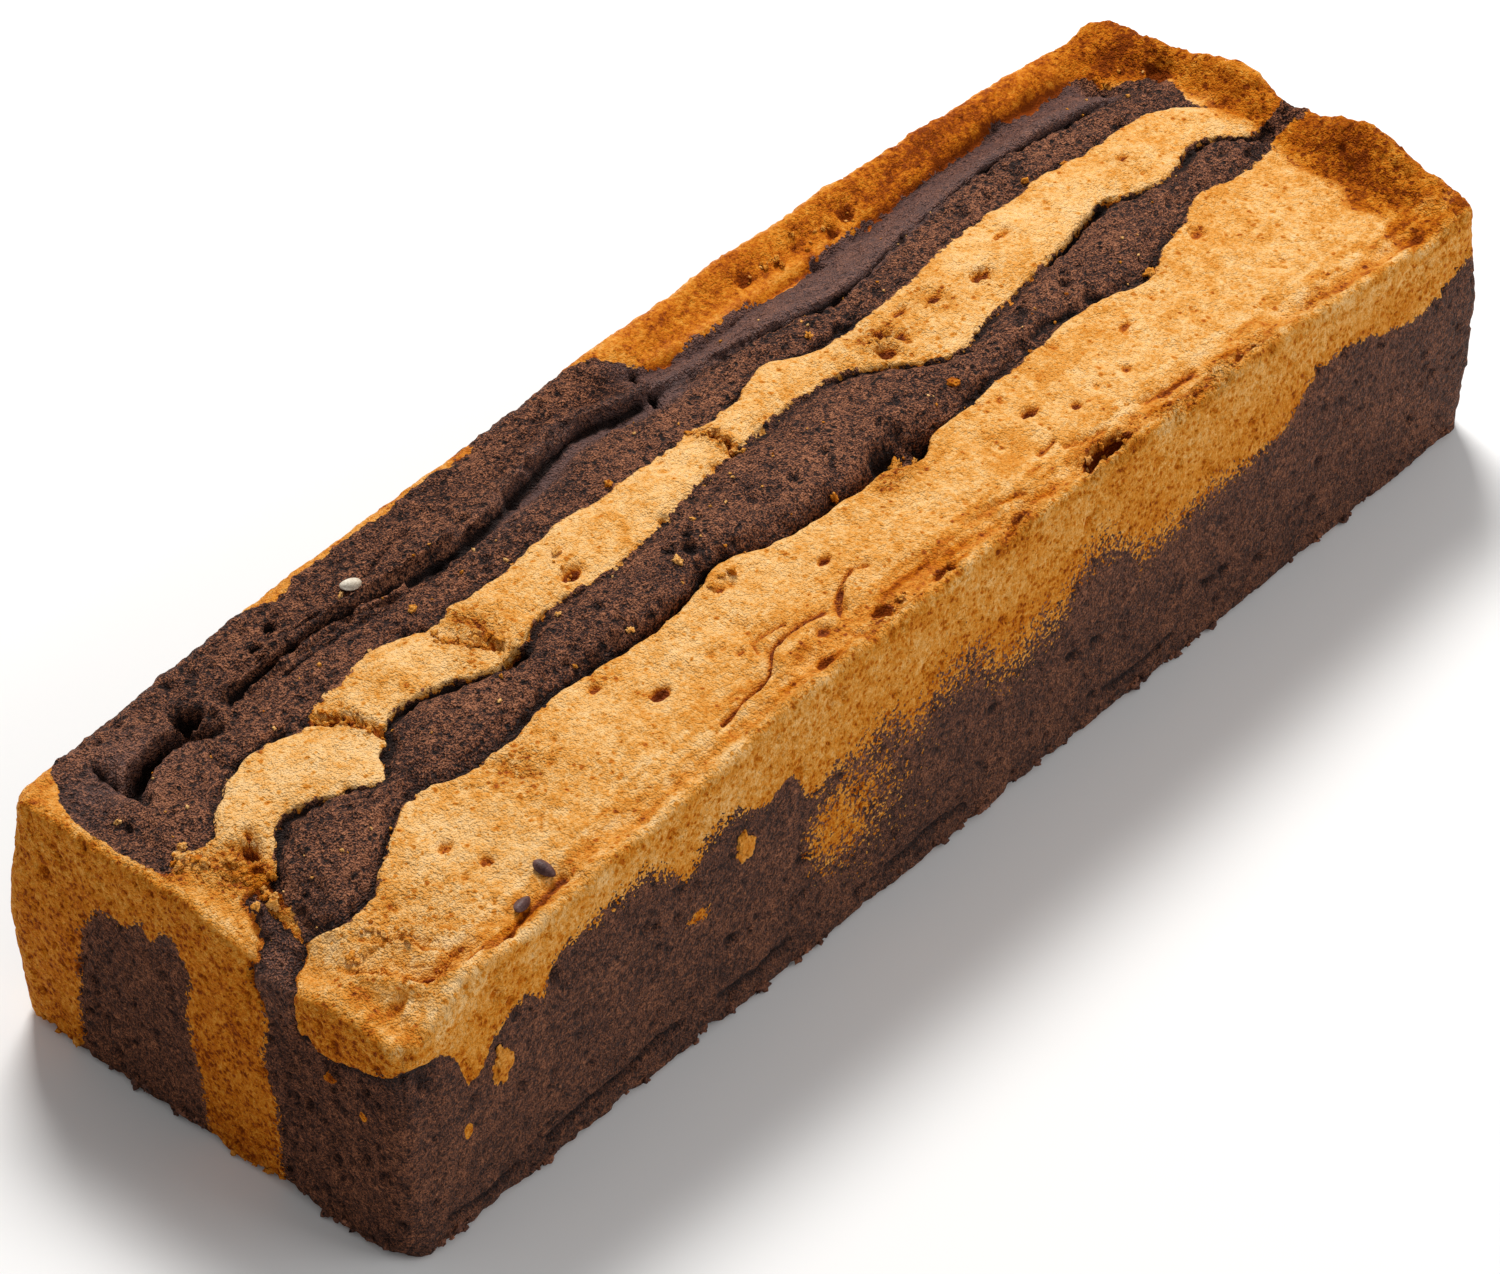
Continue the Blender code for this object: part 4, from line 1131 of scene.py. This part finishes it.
def marbled_crumb():
    """Vanilla and chocolate crumb in one surface."""
    material, tree, shader = new_material("marbled_crumb")
    mottle = use_group(tree, grain, Broad=95.0, Middle=380.0, Fine=1500.0)
    speck = use_group(tree, grain, Broad=1000.0, Middle=1700.0, Fine=3400.0, Detail=1.0)
    flake = use_group(tree, flaky, Scale=1250.0)
    wall, hollow_at, browning_and_shade_at = attribute(tree, "wall"), attribute(tree, "hollow"), attribute(tree, "crust")
    crumbly_at, skin = attribute(tree, "crumbly"), attribute(tree, "skin")
    is_chocolate = edge_between(tree, mottle, speck)

    # The pores' darker colour below is painted shade.
    pin = use_group(tree, pores, Scale=760.0, Share=0.55, Size=0.42)["Mask"]
    share = larger(tree, times(tree, wall, 0.7), crumbly_at)
    share = larger(tree, share, times(tree, is_chocolate, 0.4))
    pitted = use_group(tree, pores, Scale=1150.0, Share=share, Size=0.68)["Mask"]
    # Painted shade: hollows, cracks and grooves get the dark pore colour too.
    sunk = times(tree, step_between(tree, hollow_at, 0.15, 0.95), 0.9)
    shade_in_pores = larger(tree, larger(tree, pin, pitted), sunk)
    shade_in_pores = times(tree, shade_in_pores, calculate(tree, "MULTIPLY_ADD", skin, -SKIN_CALMS, 1.0))
    # Painted highlight: crests, where the hollow field is below 0, get a lighter reddish colour.
    crest = times(tree, step_between(tree, hollow_at, -0.12, -0.6), CREST_HIGHLIGHT_COVER)
    open_top = calculate(tree, "MULTIPLY_ADD", wall, -0.4, 1.0)

    blotches = weighted(tree, (mottle["Broad"], 0.65, 0.5), (mottle["Middle"], 0.4, 0.5))
    # The hollow field darkens the vanilla in hollows and lightens it on crests: painted shade and painted
    # highlights.
    tone = weighted(tree, (browning_and_shade_at, 1.0, 0.0), (times(tree, blotches, open_top), 1.0, 0.0),
                    (mottle["Fine"], 0.5, 0.5), (flake["Tone"], 0.12, 0.5), (speck["Fine"], 0.36, 0.5),
                    (speck["Broad"], 0.42, 0.5), (hollow_at, 0.2, 0.0), clamp=True)
    vanilla_pore_shade = times(tree, shade_in_pores, calculate(tree, "MULTIPLY_ADD", wall, -0.25, 0.9))
    vanilla = use_group(tree, vanilla_crust, Tone=tone, Pore=vanilla_pore_shade)["Color"]

    grit = weighted(tree, (speck["Broad"], 0.9, 0.5), (speck["Fine"], 1.8, 0.5), (mottle["Broad"], 0.6, 0.5),
                    (flake["Tone"], 0.14, 0.5))
    # The hollow field darkens the chocolate in hollows: painted shade.
    gritty = weighted(tree, (times(tree, grit, open_top), 1.0, -0.57), (wall, -0.03, 0.0),
                      (hollow_at, -0.3, 0.0), clamp=True)
    dark_pore_shade = times(tree, shade_in_pores, calculate(tree, "MULTIPLY_ADD", wall, -0.35, 1.0))
    dark = use_group(tree, chocolate_crust, Tone=gritty, Skin=skin, Crest=crest, Pore=dark_pore_shade)["Color"]
    tree.links.new(mix_colour(tree, is_chocolate, vanilla, dark), shader.inputs["Base Color"])

    rough_at = weighted(tree, (speck["Middle"], 0.5, -1.0), (skin, -0.25, 0.0), clamp=True)
    tree.links.new(rough_at, shader.inputs["Roughness"])
    dull = times(tree, wall, calculate(tree, "MULTIPLY_ADD", is_chocolate, -1.3, 1.0))
    dull = larger(tree, dull, step_between(tree, browning_and_shade_at, 0.58, 0.70))
    shine = calculate(tree, "MULTIPLY_ADD", dull, -WALL_DULLS, SHINE)
    tree.links.new(shine, shader.inputs["Specular IOR Level"])

    coarse_at = weighted(tree, (is_chocolate, 0.7, -0.6), (skin, -0.4, 0.0), (crumbly_at, 0.5, 0.0),
                         (wall, 0.05, 0.0))
    grains = weighted(tree, (speck["Broad"], 0.7, 0.5), (speck["Middle"], 1.0, 0.5),
                      (speck["Fine"], 0.8, 0.5), (flake["Height"], 0.35, 0.5))
    bored = times(tree, pitted, calculate(tree, "MULTIPLY_ADD", is_chocolate, 0.27, 0.12))
    height = weighted(tree, (times(tree, grains, coarse_at), 1.0, 0.0), (bored, -1.0, 0.0))
    roughen(tree, shader, height, 0.9, CRUMB_RELIEF)
    return material


cake.data.materials.append(marbled_crumb())
print("crumb material has", len(cake.data.materials[0].node_tree.nodes), "nodes")

# %% [markdown]
# ## Seeds and crumbs
# One sesame seed and two flax seeds fell on the crust from other baking. Crumbs lie along the tears, and
# two flakes of vanilla crumb are stuck to the right wall. Each is pressed a little into the cake, so none
# of them floats.

# %% Small bodies


def ball(level):
    """Points and triangles of a round body of radius 1."""
    bm = bmesh.new()
    bmesh.ops.create_icosphere(bm, subdivisions=level, radius=1)
    shape = np.array([v.co for v in bm.verts]), np.array([[v.index for v in f.verts] for f in bm.faces])
    bm.free()
    return shape


def crumb_shape(level, size, uneven, seed):
    """An uneven lump. size is its half length, breadth and height."""
    shape, triangles = ball(level)
    swell = lumps(*shape.T, 0.7, 3, seed * 3.7)
    return shape * (1 + uneven * swell[:, None]) * size, triangles


SEED_RIM = 0.25


def seed_shape(length, breadth, thickness, taper):
    """A drop-shaped seed, pointed towards +X, with a thin rim."""
    shape, triangles = ball(4)
    x, y, z = shape.T
    towards_tip = taper * (x + 1) / 2
    rim = (1 + SEED_RIM * bell(z, 0.25)) / (1 + SEED_RIM)
    z = z * (0.8 + 0.2 * np.abs(z)) * (1 - 0.3 * towards_tip)
    y = y * (1 - towards_tip) * rim
    return np.stack([x * length / 2, y * breadth / 2, z * thickness / 2], -1), triangles


def laid(shape, x, y, z, turn, sunk):
    """Lays a small body on the cake's surface near a point, flat against it, and presses it in a little."""
    found, place, normal, _ = cake.closest_point_on_mesh(placed((x, y, z)))
    forward = Vector((math.cos(math.radians(turn)), math.sin(math.radians(turn)), 0))
    side = normal.cross(forward).normalized()
    stand = np.array((side.cross(normal), side, normal)).T
    lifted = place + normal * (shape[:, 2].max() * MM * (1 - sunk))
    return np.clip((stand @ (shape * MM).T).T + np.array(lifted), low, high)


def small_piece(name, parts, material, tones=None):
    """One piece of one or more small bodies."""
    every_point, every_face, start = [], [], 0
    for shape, triangles in parts:
        every_point.append(shape)
        every_face.append(triangles + start)
        start += len(shape)
    mesh = bpy.data.meshes.new(name)
    mesh.from_pydata(np.concatenate(every_point).tolist(), [], np.concatenate(every_face).tolist())
    mesh.shade_smooth()
    if tones is not None:
        values = np.concatenate([np.full(len(shape), tone) for (shape, _), tone in zip(parts, tones)])
        mesh.attributes.new("tone", "FLOAT", "POINT").data.foreach_set("value", values.astype(np.float32))
    mesh.materials.append(material)
    piece = bpy.data.objects.new(name, mesh)
    bpy.context.scene.collection.objects.link(piece)
    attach(piece, "root")
    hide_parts("marble_cake")
    return piece


# %% Husk materials


def husk(name, colours, roughness, scale):
    """A seed's skin: two tones in fine streaks, with a slight waxy shine."""
    material, tree, shader = new_material(name)
    tone = use_group(tree, grain, Broad=scale / 3, Middle=scale, Fine=scale * 3)
    mixed = weighted(tree, (tone["Broad"], 1.0, 0.1), (tone["Fine"], 0.6, 0.5), clamp=True)
    tree.links.new(ramp(tree, mixed, [(0.25, colours[0]), (0.65, colours[1])]), shader.inputs["Base Color"])
    shader.inputs["Roughness"].default_value = roughness
    shader.inputs["Specular IOR Level"].default_value = 0.25
    roughen(tree, shader, tone["Fine"], 0.5, 0.0002)
    return material


sesame_husk = husk("sesame_husk", [(0.50, 0.40, 0.28), (0.86, 0.79, 0.66)], 0.45, 900.0)
flax_husk = husk("flax_husk", [(0.055, 0.024, 0.024), (0.17, 0.085, 0.075)], 0.45, 1400.0)

# %% Crumb material


def loose_crumb():
    """Broken crumb: its tone runs from dark chocolate, below 0, through deep brown to pale gold at 1."""
    material, tree, shader = new_material("loose_crumb")
    speck = use_group(tree, grain, Broad=500.0, Middle=1300.0, Fine=3000.0)
    own = attribute(tree, "tone")
    browned = weighted(tree, (own, -0.75, 1.2), (speck["Broad"], 0.6, 0.5), (speck["Fine"], 0.6, 0.5),
                       clamp=True)
    # The pores get a deeper colour, which is painted shade, and the dark crumb takes a little of the skin's
    # painted sheen.
    pitted = use_group(tree, pores, Scale=1300.0, Share=0.6, Size=0.5)["Mask"]
    vanilla = use_group(tree, vanilla_crust, Tone=browned, Pore=times(tree, pitted, 0.6))["Color"]
    gritty = weighted(tree, (speck["Broad"], 1.2, 0.075), (speck["Fine"], 1.1, 0.5), clamp=True)
    dark = use_group(tree, chocolate_crust, Tone=gritty, Skin=0.2, Pore=pitted)["Color"]
    is_vanilla = step_between(tree, own, -0.05, 0.05)
    tree.links.new(mix_colour(tree, is_vanilla, dark, vanilla), shader.inputs["Base Color"])
    shader.inputs["Roughness"].default_value = 0.8
    shader.inputs["Specular IOR Level"].default_value = 0.1
    height = weighted(tree, (speck["Middle"], 1.0, 0.5), (speck["Fine"], 0.6, 0.5), (pitted, -0.4, 0.0))
    roughen(tree, shader, height, 0.9, 0.0007)
    return material


crumb_finish = loose_crumb()

# %% The three seeds, as (x, y, length, breadth, thickness, turn)
SEED_SUNK = 0.25
SESAME = (-64.5, 28.5, 3.4, 2.9, 1.6, 135)
FLAX = [(-89, -32.6, 3.8, 2.5, 1.4, -84), (-95.5, -34.3, 3.9, 2.2, 1.3, 12)]


def lay_seed(name, seed, taper, material):
    """Makes a seed and lays it on the top crust."""
    x, y, length, breadth, thickness, turn = seed
    shape, triangles = seed_shape(length, breadth, thickness, taper)
    shape = laid(shape, x, y, float(top_height(x, y)), turn, SEED_SUNK)
    return small_piece(name, [(shape, triangles)], material)


lay_seed("sesame_seed", SESAME, 0.25, sesame_husk)
for number, seed in enumerate(FLAX, 1):
    lay_seed(f"flax_seed_{number}", seed, 0.3, flax_husk)

# %% Two flakes stuck to the right wall, as (x, z, across, tall, thickness)
STUCK = [(-107, 27, 4.2, 8.0, 2.2), (-54.8, 32.7, 4.0, 5.6, 2.0)]
STUCK_SUNK = 1.3
for number, (x, z, across, tall, thickness) in enumerate(STUCK, 1):
    shape, triangles = crumb_shape(5, (across / 2, tall / 2, thickness / 2), 0.5, number)
    shape = laid(shape, x, -HALF_WIDTH - WALL_SWELL, z, 0, STUCK_SUNK)
    small_piece(f"stuck_crumb_{number}", [(shape, triangles)], crumb_finish, [0.5])

# %% Single crumbs, as (x, y, across, tone)
CRUMBS = [
    (-31.8, -6.8, 1.3, 0.8), (-51, -0.5, 1.0, 0.8), (-46, -10.3, 1.3, 0.8), (-3.5, -13, 1.7, 0.45),
    (2, -14, 1.8, 0.5), (5.5, -14.6, 1.5, 0.6), (71.5, -13.9, 2.5, 0.45), (10.5, -13.4, 3.2, 0.5),
    (13, -15, 1.6, 0.55), (27, -11, 1.9, 0.3), (-46, 14.5, 1.0, 0.9), (-63.5, 17, 1.4, 0.5),
    (-24.5, 13.6, 1.2, 0.5), (22, 14, 1.4, 0.5), (77.5, 15.8, 1.4, 0.5), (86, 15.2, 1.4, 0.5),
    (-48, 19.2, 0.8, 1.0), (-119.5, 22.3, 1.1, 1.0), (-119, 9.6, 1.7, 0.75), (-117.6, 11, 1.4, 0.8),
    (-120.8, 8.7, 1.3, 0.7), (-115.5, 2.5, 1.6, 0.5), (-113.5, -3, 1.4, 0.45), (-86, 9.6, 1.4, 0.6),
    (-84.6, 5.6, 1.2, 0.6), (-66.6, 28.6, 1.2, 0.95)]

# %% Tears with crumbs along them, as (path, crumbs)
TORN = [
    ([(-89.3, 13.8), (-85.8, 9.5), (-84.6, 2.6)], 26), ([(-7, 12), (-6.2, 8), (-6.4, 4.4)], 22),
    ([(-120, 9.5), (-116, 2), (-117.4, -8)], 34), ([(5, -15.2), (9, -15.6), (14, -15)], 16),
    ([(27, -37.6), (33, -35.8), (38, -37)], 7), ([(44, -38.6), (56, -37.4)], 5),
    ([(60, -37.4), (72, -37.4)], 5), ([(111, 29), (116, 27), (121, 22)], 5),
    ([(-113, -20), (-110, -28)], 12), ([(-66, 10), (-60, 3)], 18), ([(26, 4), (32, 6)], 8),
    ([(-43, 5), (-42, 9)], 6), ([(-118, -21), (-116, -30), (-110, -36)], 18),
    ([(-20, -35.4), (-5, -36.6)], 8), ([(28, 33), (54, 33)], 18), ([(-41, -14.2), (-22, -13)], 8)]

# %% Loose crumbs on the chocolate and along the tears
SCATTERED = 150
STRAY = 0.7
CRUMB_SUNK = 0.45
CRUMB_UNEVEN = 0.9
crumb_random = random.Random(5)
for _ in range(SCATTERED):
    x, y = crumb_random.uniform(-118, 110), crumb_random.uniform(-16, 27)
    if float(chocolate_on_top(x, y)) > 0.3:
        CRUMBS.append((x, y, 0.35 + 0.5 * crumb_random.random() ** 2, crumb_random.uniform(0.3, 1.0)))
for path, count in TORN:
    for _ in range(count):
        leg = crumb_random.randrange(len(path) - 1)
        part = crumb_random.random()
        x, y = (a + (b - a) * part + crumb_random.gauss(0, STRAY) for a, b in zip(path[leg], path[leg + 1]))
        tone = 0.35 + 0.4 * crumb_random.random()
        CRUMBS.append((x, y, 0.5 + 1.1 * crumb_random.random() ** 2, tone))
parts = []
for number, (x, y, across, _) in enumerate(CRUMBS):
    stretch, flat = crumb_random.uniform(0.5, 1.0), crumb_random.uniform(0.2, 0.36)
    size = (across / 2, across / 2 * stretch, across * flat)
    shape, triangles = crumb_shape(3 if across > 0.9 else 2, size, CRUMB_UNEVEN, number)
    turn = crumb_random.uniform(0, 360)
    parts.append((laid(shape, x, y, float(top_height(x, y)), turn, CRUMB_SUNK), triangles))
tones = [tone for *_, tone in CRUMBS]

# %% Crumbs that stick out of the ragged foot
FOOT_CRUMBS = 110
FOOT_SUNK = 0.95
DARK_TONE, GOLD_TONE = -0.5, 0.4
for number in range(FOOT_CRUMBS):
    z, across = crumb_random.uniform(0.3, 2.6), 0.7 + 1.2 * crumb_random.random() ** 2
    shape, triangles = crumb_shape(2, (across / 2, across * 0.4, across * 0.4), CRUMB_UNEVEN, 500 + number)
    if number % 3:
        x, y, turn = crumb_random.uniform(-122, 122), -HALF_WIDTH - WALL_SWELL, 0
        tones.append(DARK_TONE)
    else:
        x, y, turn = -HALF_LENGTH - WALL_SWELL, crumb_random.uniform(-36, 36), 90
        tones.append(DARK_TONE if chocolate_on_near_end(y, z) > 0 else GOLD_TONE)
    parts.append((laid(shape, x, y, z, turn, FOOT_SUNK), triangles))
small_piece("loose_crumbs", parts, crumb_finish, tones)
print(len(parts), "loose crumbs with", sum(len(t) for _, t in parts), "triangles")

# %% [markdown]
# ## Floor, light and camera
# A pale floor and soft light keep the colours true. The main lamp stands behind the cake and to its left,
# so the grooves throw shadows towards the camera, and the near end is the darkest wall, as on the real
# cake. The camera has a long lens, because the photograph was taken from afar.

# %% The floor
bpy.ops.mesh.primitive_plane_add(size=6)
floor = bpy.context.object
floor.name = "floor"
pale, _, pale_shader = new_material("pale_floor")
pale_shader.inputs["Base Color"].default_value = (0.86, 0.86, 0.86, 1)
pale_shader.inputs["Roughness"].default_value = 0.9
floor.data.materials.append(pale)

# %% The lights


def soft_lamp(name, place, size, power, colour):
    """A square area lamp that looks at the cake."""
    lamp = bpy.data.lights.new(name, "AREA")
    lamp.size = size
    lamp.energy = power
    lamp.color = colour
    thing = bpy.data.objects.new(name, lamp)
    thing.location = place
    thing.rotation_euler = (-Vector(place)).to_track_quat("-Z", "Y").to_euler()
    bpy.context.scene.collection.objects.link(thing)
    return thing


soft_lamp("key", (0.50, 0.62, 1.15), 0.42, 19.5, (1.0, 0.985, 0.96))
soft_lamp("side_fill", (0.6, -1.3, 0.75), 0.9, 8.0, (1.0, 1.0, 1.0))
world = bpy.data.worlds.new("soft_room")
world.use_nodes = True
sky = world.node_tree.nodes["Background"]
sky.inputs["Color"].default_value = (1.0, 1.0, 1.0, 1)
sky.inputs["Strength"].default_value = 0.36
bpy.context.scene.world = world
bpy.context.scene.view_settings.view_transform = "Standard"

# %% The camera
AZIMUTH = math.radians(-49.15)
ELEVATION = math.radians(41.72)
ROLL = math.radians(0.44)
AIM_RIGHT, AIM_UP, DISTANCE = 0.00484, -0.00802, 0.97
LIFT = 0.0025
FOCAL_PIXELS = 6204.6
PHOTO_WIDTH = 1500
SENSOR = 36.0


def camera_axes():
    """The camera's right, up and backward directions, rolled about the view line."""
    right = Vector((math.cos(AZIMUTH), math.sin(AZIMUTH), 0))
    level = Vector((math.sin(AZIMUTH), -math.cos(AZIMUTH), 0))
    back = level * math.cos(ELEVATION) + Vector((0, 0, math.sin(ELEVATION)))
    up = back.cross(right)
    return math.cos(ROLL) * right + math.sin(ROLL) * up, math.cos(ROLL) * up - math.sin(ROLL) * right, back


right, up, back = camera_axes()
camera_data = bpy.data.cameras.new("photo_camera")
camera_data.sensor_width = SENSOR
camera_data.lens = FOCAL_PIXELS * SENSOR / PHOTO_WIDTH
camera = bpy.data.objects.new("photo_camera", camera_data)
place = DISTANCE * back - AIM_RIGHT * right - AIM_UP * up + Vector((0, 0, LIFT))
camera.matrix_world = Matrix((right, up, back)).transposed().to_4x4()
camera.location = place
bpy.context.scene.collection.objects.link(camera)
bpy.context.scene.camera = camera
print("lens", round(camera_data.lens, 1), "mm at", [round(c, 3) for c in place])

# %% Update the scene
bpy.context.view_layer.update()
